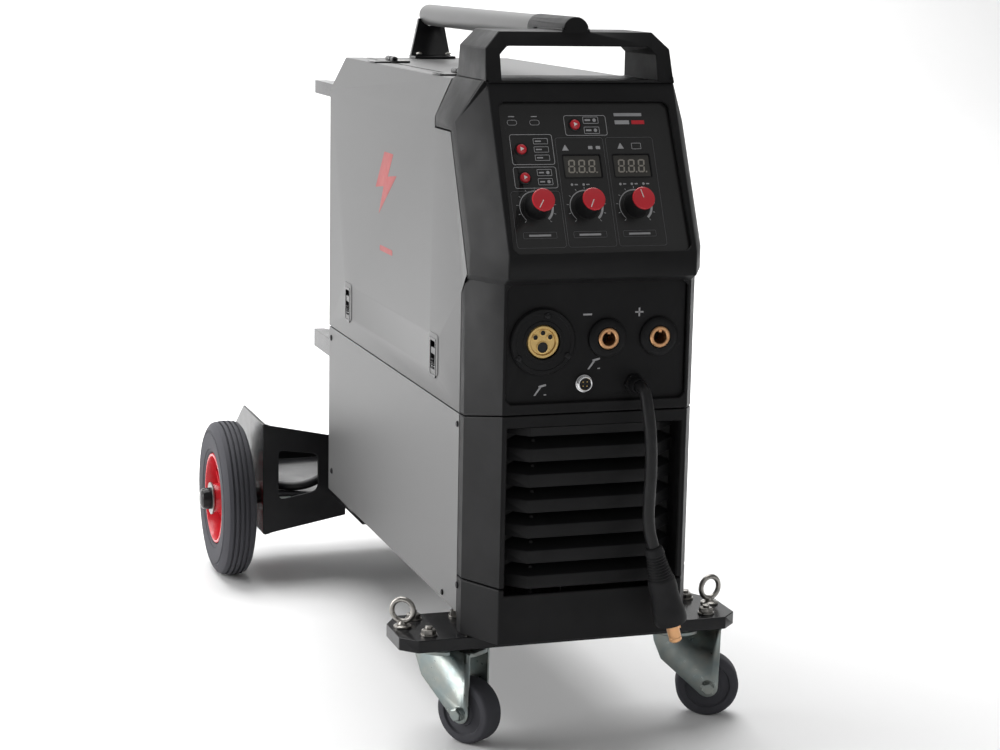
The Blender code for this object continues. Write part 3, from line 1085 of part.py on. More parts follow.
def build():
    for old in list(bpy.data.objects):
        bpy.data.objects.remove(old, do_unlink=True)
    middle = (CHIN_Y + TRAY_REAR_Y) / 2.0
    machine = empty("machine", (0.0, -middle, 0.0))
    lean = math.atan2(SHOULDER_Y - CHIN_Y, SHOULDER_Z - CHIN_Z)
    slope = empty("sloping_face", (0.0, CHIN_Y, CHIN_Z), machine, (-lean, 0.0, 0.0))

    base_pan(machine)
    covers(machine)
    side_door(machine)
    hinges(machine)
    latches(machine)
    rear_panel(machine)
    divider_wall(machine)
    upper_fascia(machine, slope)
    lower_fascia(machine)
    base_moulding(machine)
    handle(machine)
    control_panel(slope)
    panel_pieces(slope)
    torch_socket(machine)
    power_sockets(machine)
    small_fittings(machine)
    polarity_lead(machine)
    front_plate(machine)
    for side, name in ((-1, "left"), (1, "right")):
        caster(machine, side, name, CASTER_HEADINGS[name])
        eye_bolt(machine, side, name, EYE_TURNS[name])
    bottle_tray(machine)
    rear_wheels(machine)
    bottle_brackets(machine)
    wire_side(machine)
    power_side(machine)
    mains_switch(machine)
    mains_lead(machine)
    mains_plug(machine)


build()
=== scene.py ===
"""Finished surfaces of a wheeled welder, laid out as an add-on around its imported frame.

Sizes are in millimetres in the frame's own axes: +X right, +Y towards the rear wheels, +Z up.
"""

import json
import math

import bmesh
import bpy
from bpy.props import FloatProperty, FloatVectorProperty, IntProperty, PointerProperty
from bpy.types import Operator, Panel, PropertyGroup
from mathutils import Matrix, Vector


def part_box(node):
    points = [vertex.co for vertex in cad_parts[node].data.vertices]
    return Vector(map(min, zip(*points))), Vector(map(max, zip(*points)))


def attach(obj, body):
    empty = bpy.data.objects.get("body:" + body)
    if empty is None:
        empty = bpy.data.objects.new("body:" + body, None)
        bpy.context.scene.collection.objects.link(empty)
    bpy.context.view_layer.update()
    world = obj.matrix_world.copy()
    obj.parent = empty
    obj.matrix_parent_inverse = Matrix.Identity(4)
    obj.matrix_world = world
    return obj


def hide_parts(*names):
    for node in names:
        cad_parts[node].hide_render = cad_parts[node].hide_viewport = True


bl_info = {
    "name": "Wheeled welder surfaces",
    "version": (1, 0, 0),
    "blender": (4, 5, 0),
    "location": "3D View > Sidebar > Welder",
    "description": "Builds the finished pieces and materials of a wheeled welder",
    "category": "Object",
}

MM = 0.001

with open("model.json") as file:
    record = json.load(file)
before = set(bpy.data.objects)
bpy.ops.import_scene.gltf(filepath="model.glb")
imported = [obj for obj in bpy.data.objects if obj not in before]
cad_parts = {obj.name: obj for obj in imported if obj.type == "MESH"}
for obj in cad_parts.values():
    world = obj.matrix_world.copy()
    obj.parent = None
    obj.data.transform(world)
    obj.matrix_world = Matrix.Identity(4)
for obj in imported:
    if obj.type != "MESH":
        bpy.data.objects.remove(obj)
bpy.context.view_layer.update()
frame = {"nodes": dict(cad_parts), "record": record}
RECORD = frame["record"]
BODY_OF = {node: body for body, nodes in RECORD["behaviour"]["bodies"].items() for node in nodes}
JOINTS = {joint["name"]: joint for joint in RECORD["behaviour"]["joints"]}


# Places read from the frame

def span(node):
    """Lowest and highest corners of a node, in millimetres."""
    low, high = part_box(node)
    return low / MM, high / MM


def middle(node):
    low, high = span(node)
    return (low + high) / 2.0


def halfway(low, high, axes):
    """Middles of a box along the named axes."""
    return [(getattr(low, axis) + getattr(high, axis)) / 2.0 for axis in axes]


def sloping_face():
    """Axes of the control panel's face: X right, Y into the panel, Z up the slope."""
    dial = JOINTS["left_dial_turn"]
    inward = -Vector(dial["axis"]).normalized()
    up = Vector((1.0, 0.0, 0.0)).cross(inward)
    place = Vector((0.0, dial["pos_m"][1], dial["pos_m"][2])) / MM
    turn = Matrix((Vector((1.0, 0.0, 0.0)), inward, up)).transposed().to_4x4()
    return Matrix.Translation(place - up * DIAL_V) @ turn


DIAL_V = 50.0        # height of the dials up the sloping face
PANEL_D = 5.0        # depth of the panel's film below the moulding
SLOPE = sloping_face()
DIAL_XS = {name: JOINTS[f"{name}_dial_turn"]["pos_m"][0] / MM for name in ("left", "middle", "right")}


def on_slope(x, v, d=0.0):
    """A frame that lies on the sloping face at x, v, sunk by d."""
    return SLOPE @ Matrix.Translation((x, d, v))


# Sizes and colours that a user would change

class WelderSizes(PropertyGroup):
    sheet_round: FloatProperty(
        name="Sheet edge", description="Rounding on the edges of bent sheet, in millimetres",
        default=0.7, min=0.1, max=2.0)
    mould_round: FloatProperty(
        name="Moulding edge", description="Rounding on the edges of the moulded front, in millimetres",
        default=1.6, min=0.2, max=4.0)
    coil_turns: IntProperty(
        name="Coil turns", description="Turns of the mains cable in its coil", default=6, min=2, max=6)
    tread_grooves: IntProperty(
        name="Tread grooves", description="Grooves round each rear tyre", default=4, min=0, max=8)
    rim_spokes: IntProperty(name="Rim spokes", description="Spokes in each rear rim", default=6, min=3,
                            max=9)
    grip_ribs: IntProperty(
        name="Grip ribs", description="Ribs round the lead plug's grip", default=9, min=3, max=16)


class WelderColours(PropertyGroup):
    coat: FloatVectorProperty(
        name="Powder coat", description="Colour of the painted sheet", subtype="COLOR", size=3,
        default=(0.060, 0.060, 0.061), min=0.0, max=1.0)
    plastic: FloatVectorProperty(
        name="Moulding", description="Colour of the moulded front", subtype="COLOR", size=3,
        default=(0.009, 0.009, 0.0095), min=0.0, max=1.0)
    accent: FloatVectorProperty(
        name="Red", description="Colour of the knobs, buttons and rims", subtype="COLOR", size=3,
        default=(0.50, 0.006, 0.010), min=0.0, max=1.0)


def sizes():
    return bpy.context.scene.welder_sizes


def colours():
    return bpy.context.scene.welder_colours


# Materials

def new_material(name):
    finish = bpy.data.materials.new(name)
    finish.use_nodes = True
    return finish, finish.node_tree, finish.node_tree.nodes["Principled BSDF"]


def noise(tree, grain, detail=3.0, stretch=(1.0, 1.0, 1.0), rough=0.55):
    """A noise that has its grain size in millimetres, in the object's own space."""
    place = tree.nodes.new("ShaderNodeTexCoord")
    mapping = tree.nodes.new("ShaderNodeMapping")
    mapping.inputs["Scale"].default_value = [s / (grain * MM) for s in stretch]
    texture = tree.nodes.new("ShaderNodeTexNoise")
    texture.inputs["Scale"].default_value = 1.0
    texture.inputs["Detail"].default_value = detail
    texture.inputs["Roughness"].default_value = rough
    tree.links.new(place.outputs["Object"], mapping.inputs["Vector"])
    tree.links.new(mapping.outputs["Vector"], texture.inputs["Vector"])
    return texture.outputs["Fac"]


def spread(tree, source, low, high, start=0.3, end=0.7):
    """Map a noise to a range."""
    mapped = tree.nodes.new("ShaderNodeMapRange")
    mapped.inputs["From Min"].default_value = start
    mapped.inputs["From Max"].default_value = end
    mapped.inputs["To Min"].default_value = low
    mapped.inputs["To Max"].default_value = high
    tree.links.new(source, mapped.inputs["Value"])
    return mapped.outputs["Result"]


def two_tones(tree, source, first, second, start=0.35, end=0.65):
    ramp = tree.nodes.new("ShaderNodeValToRGB")
    ramp.color_ramp.elements[0].position = start
    ramp.color_ramp.elements[0].color = (*first, 1.0)
    ramp.color_ramp.elements[1].position = end
    ramp.color_ramp.elements[1].color = (*second, 1.0)
    tree.links.new(source, ramp.inputs["Fac"])
    return ramp.outputs["Color"]


def bumped(tree, shader, source, depth, strength=1.0, under=None):
    """Add a bump of a depth in millimetres, over an earlier one."""
    bump = tree.nodes.new("ShaderNodeBump")
    bump.inputs["Distance"].default_value = depth * MM
    bump.inputs["Strength"].default_value = strength
    tree.links.new(source, bump.inputs["Height"])
    if under is not None:
        tree.links.new(under, bump.inputs["Normal"])
    tree.links.new(bump.outputs["Normal"], shader.inputs["Normal"])
    return bump.outputs["Normal"]


def surface(name, colour, tint, rough, metallic=0.0, patch=60.0, grain=1.0, depth=0.02, vary=0.06,
            stretch=(1.0, 1.0, 1.0), coat=0.0, specular=0.5):
    """A finish with patchy colour and gloss over a fine grain."""
    if name in bpy.data.materials:
        return bpy.data.materials[name]
    finish, tree, shader = new_material(name)
    shader.inputs["Metallic"].default_value = metallic
    shader.inputs["Specular IOR Level"].default_value = specular
    if coat > 0.0:
        shader.inputs["Coat Weight"].default_value = coat
        shader.inputs["Coat Roughness"].default_value = 0.12
    patches = noise(tree, patch, 4.0)
    tree.links.new(two_tones(tree, patches, colour, tint), shader.inputs["Base Color"])
    gloss = noise(tree, patch * 0.4, 5.0)
    tree.links.new(spread(tree, gloss, rough - vary, rough + vary), shader.inputs["Roughness"])
    bumped(tree, shader, noise(tree, grain, 2.0, stretch), depth)
    return finish


def shade(colour, factor):
    return tuple(channel * factor for channel in colour)


def powder_coat():
    """Satin paint with a fine pebbled skin."""
    base = colours().coat
    return surface("powder_coat", base, shade(base, 1.18), 0.46, grain=0.9, depth=0.035, vary=0.035,
                   patch=140.0)


def moulded_plastic():
    """Black moulding with an eroded grain."""
    base = colours().plastic
    return surface("moulded_plastic", base, shade(base, 1.35), 0.50, grain=0.55, depth=0.03, vary=0.05,
                   specular=0.14)


def gloss_paint():
    return surface("gloss_paint", (0.009, 0.009, 0.010), (0.014, 0.014, 0.015), 0.20, grain=3.0, depth=0.01,
                   vary=0.05, specular=0.2)


def panel_film():
    return surface("panel_film", (0.008, 0.008, 0.009), (0.011, 0.011, 0.012), 0.34, grain=0.35, depth=0.006,
                   vary=0.03, specular=0.12)


def print_ink():
    return surface("print_ink", (0.34, 0.34, 0.35), (0.40, 0.40, 0.41), 0.45, grain=0.4, depth=0.004)


def dim_ink():
    return surface("dim_ink", (0.085, 0.085, 0.09), (0.11, 0.11, 0.115), 0.5, grain=0.4, depth=0.004)


def red_print():
    return surface("red_print", (0.24, 0.022, 0.022), (0.29, 0.030, 0.028), 0.5, grain=0.9, depth=0.02,
                   patch=40.0)


def red_plastic():
    base = colours().accent
    return surface("red_plastic", base, shade(base, 0.86), 0.36, grain=0.7, depth=0.012, patch=18.0,
                   specular=0.3)


def white_plastic():
    return surface("white_plastic", (0.78, 0.77, 0.76), (0.70, 0.69, 0.68), 0.4, grain=0.5, depth=0.01)


def display_glass():
    return surface("display_glass", (0.050, 0.048, 0.044), (0.062, 0.060, 0.055), 0.22, grain=4.0,
                   depth=0.004,
                   specular=0.3)


def segment_light():
    return surface("segment_light", (0.26, 0.24, 0.21), (0.31, 0.29, 0.25), 0.35, grain=0.5, depth=0.004)


# Near-black painted shade for the dark behind the grille, inside the torch socket's holes, at the bottoms of
# the power sockets and round the knobs' feet; also the real colour of the control socket's black insert.
def painted_shade_and_insert_black():
    return surface("painted_shade_and_insert_black", (0.004, 0.004, 0.004), (0.007, 0.007, 0.007), 0.7, grain=0.6, depth=0.02)


def brass():
    """Turned brass, with fine rings left by the tool."""
    return surface("brass", (0.50, 0.285, 0.065), (0.36, 0.19, 0.04), 0.24, 1.0, grain=0.35, depth=0.008,
                   patch=9.0, vary=0.07, stretch=(0.15, 4.0, 0.15))


def copper():
    return surface("copper", (0.48, 0.225, 0.075), (0.34, 0.145, 0.045), 0.27, 1.0, grain=0.35, depth=0.008,
                   patch=8.0, vary=0.07, stretch=(0.15, 4.0, 0.15))


def chrome():
    return surface("chrome", (0.72, 0.71, 0.69), (0.60, 0.59, 0.57), 0.14, 1.0, grain=1.2, depth=0.004,
                   patch=7.0)


def zinc_plate():
    """Bright zinc with the blue and straw cast of its passivation."""
    return surface("zinc_plate", (0.215, 0.255, 0.255), (0.27, 0.285, 0.265), 0.34, 1.0, grain=2.2,
                   depth=0.014, patch=16.0, vary=0.08)


def bare_steel():
    return surface("bare_steel", (0.36, 0.345, 0.32), (0.26, 0.25, 0.235), 0.33, 1.0, grain=0.9, depth=0.014,
                   patch=12.0, vary=0.09)


def soft_rubber():
    return surface("soft_rubber", (0.009, 0.009, 0.010), (0.015, 0.015, 0.016), 0.60, grain=0.8, depth=0.03,
                   patch=25.0, specular=0.22)


def wheel_rubber():
    """Dull tyre rubber with a dusty bloom."""
    return surface("wheel_rubber", (0.010, 0.010, 0.011), (0.019, 0.0185, 0.018), 0.62, grain=1.0,
                   depth=0.04,
                   patch=22.0, vary=0.07, specular=0.3)


def cable_sheath():
    return surface("cable_sheath", (0.008, 0.008, 0.009), (0.013, 0.013, 0.014), 0.46, grain=1.4, depth=0.02,
                   patch=30.0, specular=0.3)


def cast_alloy():
    return surface("cast_alloy", (0.62, 0.63, 0.64), (0.52, 0.53, 0.54), 0.38, 1.0, grain=0.8, depth=0.03,
                   patch=15.0)


def spool_plastic():
    return surface("spool_plastic", (0.022, 0.022, 0.024), (0.032, 0.032, 0.034), 0.44, grain=0.7,
                   depth=0.02)


def wound_wire():
    """Copper-washed wire, lying in close turns across the spool."""
    return surface("wound_wire", (0.76, 0.42, 0.24), (0.60, 0.31, 0.17), 0.30, 1.0, grain=0.5, depth=0.05,
                   patch=6.0, stretch=(1.6, 0.08, 0.08))


def pale_floor():
    return surface("pale_floor", (0.86, 0.86, 0.86), (0.84, 0.84, 0.84), 0.72, grain=8.0, depth=0.02,
                   patch=600.0)


# Meshes

def spot(axis, u, v, w):
    """A point whose third number runs along the named axis."""
    return {"X": (w, u, v), "Y": (u, w, v), "Z": (u, v, w)}[axis]


def prism(outline, axis, low, high, mesh=None):
    """Extrude a flat outline along an axis; its sides may lean to a second outline."""
    mesh = mesh or bmesh.new()
    far = outline if not isinstance(outline, tuple) else outline[1]
    near = outline if not isinstance(outline, tuple) else outline[0]
    first = [mesh.verts.new(spot(axis, u, v, low)) for u, v in near]
    last = [mesh.verts.new(spot(axis, u, v, high)) for u, v in far]
    faces = [mesh.faces.new(first), mesh.faces.new(last[::-1])]
    count = len(near)
    for i in range(count):
        j = (i + 1) % count
        faces.append(mesh.faces.new((first[j], first[i], last[i], last[j])))
    bmesh.ops.recalc_face_normals(mesh, faces=faces)
    return mesh


def block(xs, ys, zs, mesh=None):
    outline = [(xs[0], ys[0]), (xs[1], ys[0]), (xs[1], ys[1]), (xs[0], ys[1])]
    return prism(outline, "Z", zs[0], zs[1], mesh)


def turned(profile, axis, centre=(0.0, 0.0), steps=48, mesh=None, closed=False):
    """Turn (radius, distance) points about an axis; a closed profile makes a ring."""
    mesh = mesh or bmesh.new()
    rings = []
    for radius, along in profile:
        if radius <= 1e-6:
            rings.append([mesh.verts.new(spot(axis, centre[0], centre[1], along))])
            continue
        rings.append([
            mesh.verts.new(spot(axis, centre[0] + radius * math.cos(math.tau * i / steps),
                                centre[1] + radius * math.sin(math.tau * i / steps), along))
            for i in range(steps)])
    pairs = list(zip(rings, rings[1:])) + ([(rings[-1], rings[0])] if closed else [])
    faces = []
    for a, b in pairs:
        if len(a) == 1 and len(b) == 1:
            continue
        for i in range(steps):
            j = (i + 1) % steps
            corners = ([a[0]] if len(a) == 1 else [a[i], a[j]]) + ([b[0]] if len(b) == 1 else [b[j], b[i]])
            faces.append(mesh.faces.new(corners))
    bmesh.ops.recalc_face_normals(mesh, faces=faces)
    return mesh


def tube(points, radius, mesh=None, sides=12, closed=False):
    """A round wire through points; closed joins its two ends."""
    mesh = mesh or bmesh.new()
    points = [Vector(point) for point in points]
    count = len(points)
    rings = []
    side = None
    for i, point in enumerate(points):
        before = points[i - 1] if i > 0 or closed else point
        after = points[(i + 1) % count] if i < count - 1 or closed else point
        along = (after - before).normalized()
        if side is None:
            side = along.orthogonal().normalized()
        side = (side - along * side.dot(along)).normalized()
        other = along.cross(side)
        rings.append([
            mesh.verts.new(point + side * (radius * math.cos(math.tau * k / sides))
                           + other * (radius * math.sin(math.tau * k / sides)))
            for k in range(sides)])
    faces = []
    for a, b in list(zip(rings, rings[1:])) + ([(rings[-1], rings[0])] if closed else []):
        for k in range(sides):
            n = (k + 1) % sides
            faces.append(mesh.faces.new((a[k], a[n], b[n], b[k])))
    if not closed:
        faces.append(mesh.faces.new(rings[0][::-1]))
        faces.append(mesh.faces.new(rings[-1]))
    bmesh.ops.recalc_face_normals(mesh, faces=faces)
    return mesh


def arc(centre, radius, start, end, steps):
    """Points of an arc, angles in degrees."""
    turns = [math.radians(start + (end - start) * i / steps) for i in range(steps + 1)]
    return [(centre[0] + radius * math.cos(t), centre[1] + radius * math.sin(t)) for t in turns]


def rounded(half_u, half_v, radius, centre=(0.0, 0.0), steps=4):
    """A rectangle with round corners."""
    points = []
    for su, sv, start in ((1, -1, -90), (1, 1, 0), (-1, 1, 90), (-1, -1, 180)):
        corner = (centre[0] + su * (half_u - radius), centre[1] + sv * (half_v - radius))
        points += arc(corner, radius, start, start + 90, steps)
    return points


def ngon(radius, sides, centre=(0.0, 0.0), turn=0.0):
    return [(centre[0] + radius * math.cos(math.tau * i / sides + turn),
             centre[1] + radius * math.sin(math.tau * i / sides + turn)) for i in range(sides)]


def piece(name, mesh, finish, body="machine", stands_for=(), place=None, round_by=0.0, segments=2,
          sharp=32.0):
    """Turn a millimetre mesh into a finished piece that rides on a body."""
    if place is not None:
        mesh.transform(place)
    mesh.transform(Matrix.Scale(MM, 4))
    data = bpy.data.meshes.new(name)
    mesh.to_mesh(data)
    mesh.free()
    data.materials.append(finish)
    data.shade_smooth()
    data.set_sharp_from_angle(angle=math.radians(sharp))
    made = bpy.data.objects.new(name, data)
    bpy.context.scene.collection.objects.link(made)
    if round_by > 0.0:
        edge = made.modifiers.new("rounded_edges", "BEVEL")
        edge.width = round_by * MM
        edge.segments = segments
        edge.limit_method = "ANGLE"
        edge.angle_limit = math.radians(28.0)
        edge.use_clamp_overlap = False
        edge.harden_normals = True
    if stands_for:
        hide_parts(*stands_for)
    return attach(made, body)


def node_mesh(node):
    """A node's own shape in millimetres, with its split corners joined again."""
    mesh = bmesh.new()
    mesh.from_mesh(frame["nodes"][node].data)
    mesh.transform(frame["nodes"][node].matrix_world)
    mesh.transform(Matrix.Scale(1.0 / MM, 4))
    bmesh.ops.remove_doubles(mesh, verts=mesh.verts, dist=0.02)
    bmesh.ops.dissolve_limit(mesh, angle_limit=math.radians(0.8), verts=mesh.verts, edges=mesh.edges)
    bmesh.ops.triangulate(mesh, faces=mesh.faces, quad_method="BEAUTY", ngon_method="BEAUTY")
    return mesh


def dressed(node, finish, round_by, segments=2, sharp=32.0):
    """A node's own shape with its edges rounded, standing for the node."""
    return piece(f"{node}_skin", node_mesh(node), finish, BODY_OF[node], stands_for=(node,),
                 round_by=round_by,
                 segments=segments, sharp=sharp)


def repaint(node, finish):
    """Give a node that stays a better finish."""
    for slot in frame["nodes"][node].material_slots:
        slot.material = finish


def facing(place, normal, turn=0.0):
    """A frame at a place whose +Z looks along a normal."""
    return (Matrix.Translation(place) @ Vector(normal).to_track_quat("Z", "Y").to_matrix().to_4x4()
            @ Matrix.Rotation(turn, 4, "Z"))


def pan_screw(mesh, place, normal, radius=3.6, height=1.8, turn=0.0):
    """A domed cross-slot screw head."""
    head = bmesh.new()
    dome = [(0.0, height), (radius * 0.45, height), (radius * 0.8, height * 0.8), (radius, height * 0.3),
            (radius, -0.4), (0.0, -0.4)]
    turned(dome, "Z", steps=20, mesh=head)
    for along in (0.0, math.pi / 2.0):
        slot = Matrix.Rotation(along, 4, "Z")
        bar = bmesh.new()
        block((-radius * 0.5, radius * 0.5), (-radius * 0.1, radius * 0.1), (height * 0.8, height + 0.06),
              bar)
        bar.transform(slot)
        add_into(head, bar)
    head.transform(facing(place, normal, turn))
    add_into(mesh, head)


def hex_bolt(mesh, place, normal, across=13.0, height=5.0, washer=9.0, stub=0.0, turn=0.3):
    """A hexagon head on a flat washer, or a nut with its bolt's end standing out."""
    head = bmesh.new()
    turned([(0.0, 1.6), (washer, 1.6), (washer, 0.0), (0.0, 0.0)], "Z", steps=28, mesh=head)
    corner = across / math.sqrt(3.0)
    prism((ngon(corner, 6), ngon(corner, 6)), "Z", 1.6, 1.6 + height * 0.82, head)
    prism((ngon(corner * 0.99, 6), ngon(corner * 0.84, 6)), "Z", 1.6 + height * 0.82, 1.6 + height, head)
    if stub > 0.0:
        top = 1.6 + height
        thread = [(0.0, top + stub), (across * 0.24, top + stub)]
        ridges = max(2, int(stub / 1.2))
        for i in range(ridges, 0, -1):
            z = top + stub * i / ridges
            thread += [(across * 0.30, z - 0.3), (across * 0.26, z - 0.9)]
        thread += [(across * 0.26, top - 0.5), (0.0, top - 0.5)]
        turned(thread, "Z", steps=20, mesh=head)
    head.transform(facing(place, normal, turn))
    add_into(mesh, head)


def add_into(mesh, other):
    """Add one mesh's shells to another and free it."""
    data = bpy.data.meshes.new("joined")
    other.to_mesh(data)
    other.free()
    mesh.from_mesh(data)
    bpy.data.meshes.remove(data)


# Stage

def camera():
    """A long lens from the front left, a little above the machine."""
    yaw, pitch, roll = math.radians(18.27), math.radians(10.7), math.radians(1.12)
    ahead = Vector((math.sin(yaw) * math.cos(pitch), math.cos(yaw) * math.cos(pitch), -math.sin(pitch)))
    level = Vector((math.cos(yaw), -math.sin(yaw), 0.0))
    upright = level.cross(ahead)
    right = level * math.cos(roll) + upright * math.sin(roll)
    up = upright * math.cos(roll) - level * math.sin(roll)
    data = bpy.data.cameras.new("camera")
    data.sensor_width = 36.0
    data.lens = 79.46
    data.clip_end = 100.0
    view = bpy.data.objects.new("camera", data)
    turn = Matrix((right, up, -ahead)).transposed().to_4x4()
    view.matrix_world = Matrix.Translation((-0.75096, -2.40244, 0.77972)) @ turn
    bpy.context.scene.collection.objects.link(view)
    bpy.context.scene.camera = view


def softbox(name, place, aim, width, height, power, tone=(1.0, 1.0, 1.0)):
    data = bpy.data.lights.new(name, "AREA")
    data.shape = "RECTANGLE"
    data.size = width
    data.size_y = height
    data.energy = power
    data.color = tone
    lamp = bpy.data.objects.new(name, data)
    lamp.location = place
    lamp.rotation_euler = (Vector(aim) - Vector(place)).to_track_quat("-Z", "Y").to_euler()
    bpy.context.scene.collection.objects.link(lamp)


def stage():
    camera()
    mesh = bmesh.new()
    sweep = [(-5200.0, 0.0), (3300.0, 0.0)] + arc((3300.0, 2200.0), 2200.0, -80.0, 0.0, 12) + [(5500.0,
        5200.0)]
    rows = [[mesh.verts.new((x, y, z)) for x in (-7500.0, 7500.0)] for y, z in sweep]
    for a, b in zip(rows, rows[1:]):
        mesh.faces.new((a[0], a[1], b[1], b[0]))
    mesh.transform(Matrix.Scale(MM, 4))
    data = bpy.data.meshes.new("floor")
    mesh.to_mesh(data)
    mesh.free()
    data.materials.append(pale_floor())
    data.shade_smooth()
    floor = bpy.data.objects.new("floor", data)
    bpy.context.scene.collection.objects.link(floor)
    world = bpy.data.worlds.new("studio")
    world.use_nodes = True
    world.node_tree.nodes["Background"].inputs["Color"].default_value = (1.0, 1.0, 1.0, 1.0)
    world.node_tree.nodes["Background"].inputs["Strength"].default_value = 0.24
    bpy.context.scene.world = world
    bpy.context.scene.view_settings.view_transform = "Standard"
    softbox("left_wall", (-3.2, 1.1, 1.3), (0.0, 0.0, 0.45), 2.6, 2.4, 110.0)
    softbox("overhead", (0.0, 1.5, 3.3), (0.0, 0.9, 0.0), 4.0, 3.4, 190.0)
    softbox("backdrop", (0.0, 3.0, 3.6), (0.0, 5.2, 0.6), 6.0, 1.6, 150.0)
    softbox("front_fill", (0.9, -3.4, 1.9), (0.0, -0.2, 0.4), 1.8, 1.4, 8.0)


# Cabinet

def cabinet():
    coat = powder_coat()
    edge = sizes().sheet_round
    for node in ("cover", "side_door", "lower_left_panel", "rear_panel"):
        dressed(node, coat, edge)
    dressed("base_pan", coat, 0.5)
    low, high = span("cover")
    left = span("lower_left_panel")[0].x
    right = high.x
    front = span("lower_fascia")[0].y
    screws = bmesh.new()
    rear = span("cover")[1].y
    ends = [(front + 61.0, 163.0), (rear - 18.0, 160.0)]
    for y, z in ends + [(rear - 12.0, 324.0)]:
        pan_screw(screws, (left - 0.1, y, z), (-1.0, 0.0, 0.0), turn=0.4 + y)
    for y, z in ends + [(rear - 12.0, 324.0), (rear - 12.0, 480.0), (rear - 12.0, 596.0)]:
        pan_screw(screws, (right + 0.1, y, z), (1.0, 0.0, 0.0), turn=0.9 + z)
    for x in (-96.0, -40.0, 40.0, 96.0):
        pan_screw(screws, (x, rear - 0.3, high.z - 14.0), (0.0, 1.0, 0.0), turn=x)
        pan_screw(screws, (x, rear - 0.3, low.z + 16.0), (0.0, 1.0, 0.0), turn=x + 1.0)
    piece("cover_screws", screws, gloss_paint())
    front_screws = bmesh.new()
    for y, z in ((front + 68.0, 326.0), (front + 112.0, 141.0)):
        pan_screw(front_screws, (left - 0.1, y, z), (-1.0, 0.0, 0.0), radius=3.2, turn=z)
    piece("panel_screws", front_screws, gloss_paint())


def door_mark():
    """A plain spark printed on the side door, and a short bar under it."""
    low = span("side_door")[0]
    face = low.x + 0.95
    middle_y, middle_z = low.y + 302.0, 536.0
    bolt = [(-6.0, 34.0), (-42.0, -8.0), (-8.0, -4.0), (-28.0, -36.0), (44.0, 12.0), (8.0, 8.0),
            (30.0, 34.0)]
    mesh = prism([(middle_y - u, middle_z + v) for u, v in bolt], "X", face - 0.12, face + 0.1)
    piece("door_spark", mesh, red_print(), "door")
    bar = prism(rounded(26.0, 3.0, 2.0, (middle_y - 4.0, 463.0)), "X", face - 0.12, face + 0.1)
    piece("door_bar", bar, red_print(), "door")


def hinges_and_latches():
    for node in ("front_hinge", "rear_hinge"):
        dressed(node, gloss_paint(), 0.4)
        low, high = span(node)
        screws = bmesh.new()
        for y in (low.y + 6.0, high.y - 6.0):
            pan_screw(screws, (high.x - 5.0, y, low.z + 1.4), (0.0, 0.0, 1.0), radius=2.6, height=1.2,
                      turn=y)
        piece(f"{node}_screws", screws, bare_steel())
        pin = turned([(0.0, high.y + 1.4), (2.2, high.y + 1.0), (2.4, high.y + 0.1), (0.0, high.y + 0.1)],
                     "Y",
                     (JOINTS["door_hinge"]["pos_m"][0] / MM, JOINTS["door_hinge"]["pos_m"][2] / MM), 16)
        piece(f"{node}_pin_head", pin, bare_steel())
        leaf_low, leaf_high = high.x - 44.0, low.x + 5.0
        leaf = prism(rounded((leaf_high - leaf_low) / 2.0 - 4.0, (high.y - low.y) / 2.0, 2.0,
                             (leaf_low + 12.0, (low.y + high.y) / 2.0)), "Z", low.z - 0.2, low.z + 1.4)
        piece(f"{node}_door_leaf", leaf, gloss_paint(), "door", round_by=0.3)
    face = span("side_door")[0].x + 1.0
    for node, body in (("front_latch", "front_catch"), ("rear_latch", "rear_catch")):
        dressed(node, gloss_paint(), 0.5)
        low, high = span(node)
        y = (low.y + high.y) / 2.0
        outer = rounded(11.0, 20.5, 3.0, (y, 377.5))
        inner = rounded(8.2, 17.2, 2.2, (y, 377.5))
        rim = bmesh.new()
        count = len(outer)
        rings = [[rim.verts.new((x, u, v)) for u, v in line]
                 for x, line in ((face, outer), (face - 1.4, outer), (face - 1.4, inner),
                                 (face + 0.2, inner))]
        for a, b in zip(rings, rings[1:] + rings[:1]):
            for i in range(count):
                j = (i + 1) % count
                rim.faces.new((a[i], a[j], b[j], b[i]))
        bmesh.ops.recalc_face_normals(rim, faces=rim.faces)
        piece(f"{node}_plate", rim, gloss_paint(), "door", round_by=0.35)
        thumb = bmesh.new()
        for i in range(4):
            z = 366.0 + i * 3.0
            block((face - 1.9, face - 0.2), (y - 4.5, y + 4.5), (z, z + 1.3), thumb)
        piece(f"{node}_ribs", thumb, soft_rubber(), body, round_by=0.25)


# Moulded front

def moulded_front():
    plastic = moulded_plastic()
    edge = sizes().mould_round
    dressed("upper_fascia", plastic, edge, 3)
    dressed("lower_fascia", plastic, 0.9, 2)
    dressed("base_moulding", plastic, edge, 3)
    low = span("lower_fascia")[0]
    pips = bmesh.new()
    for i in range(7):
        z = 318.0 - 25.5 * i
        pan_screw(pips, (-60.0, low.y + 12.5, z), (-0.35, -0.93, 0.0), radius=2.1, height=1.2)
    piece("grille_pips", pips, moulded_plastic())
    # A near-black sheet behind the louvres: painted shade standing in for the dark inside of the cabinet.
    back = bmesh.new()
    block((-90.0, 90.0), (low.y + 27.0, low.y + 28.2), (172.0, 338.0), back)
    piece("grille_painted_shade", back, painted_shade_and_insert_black())


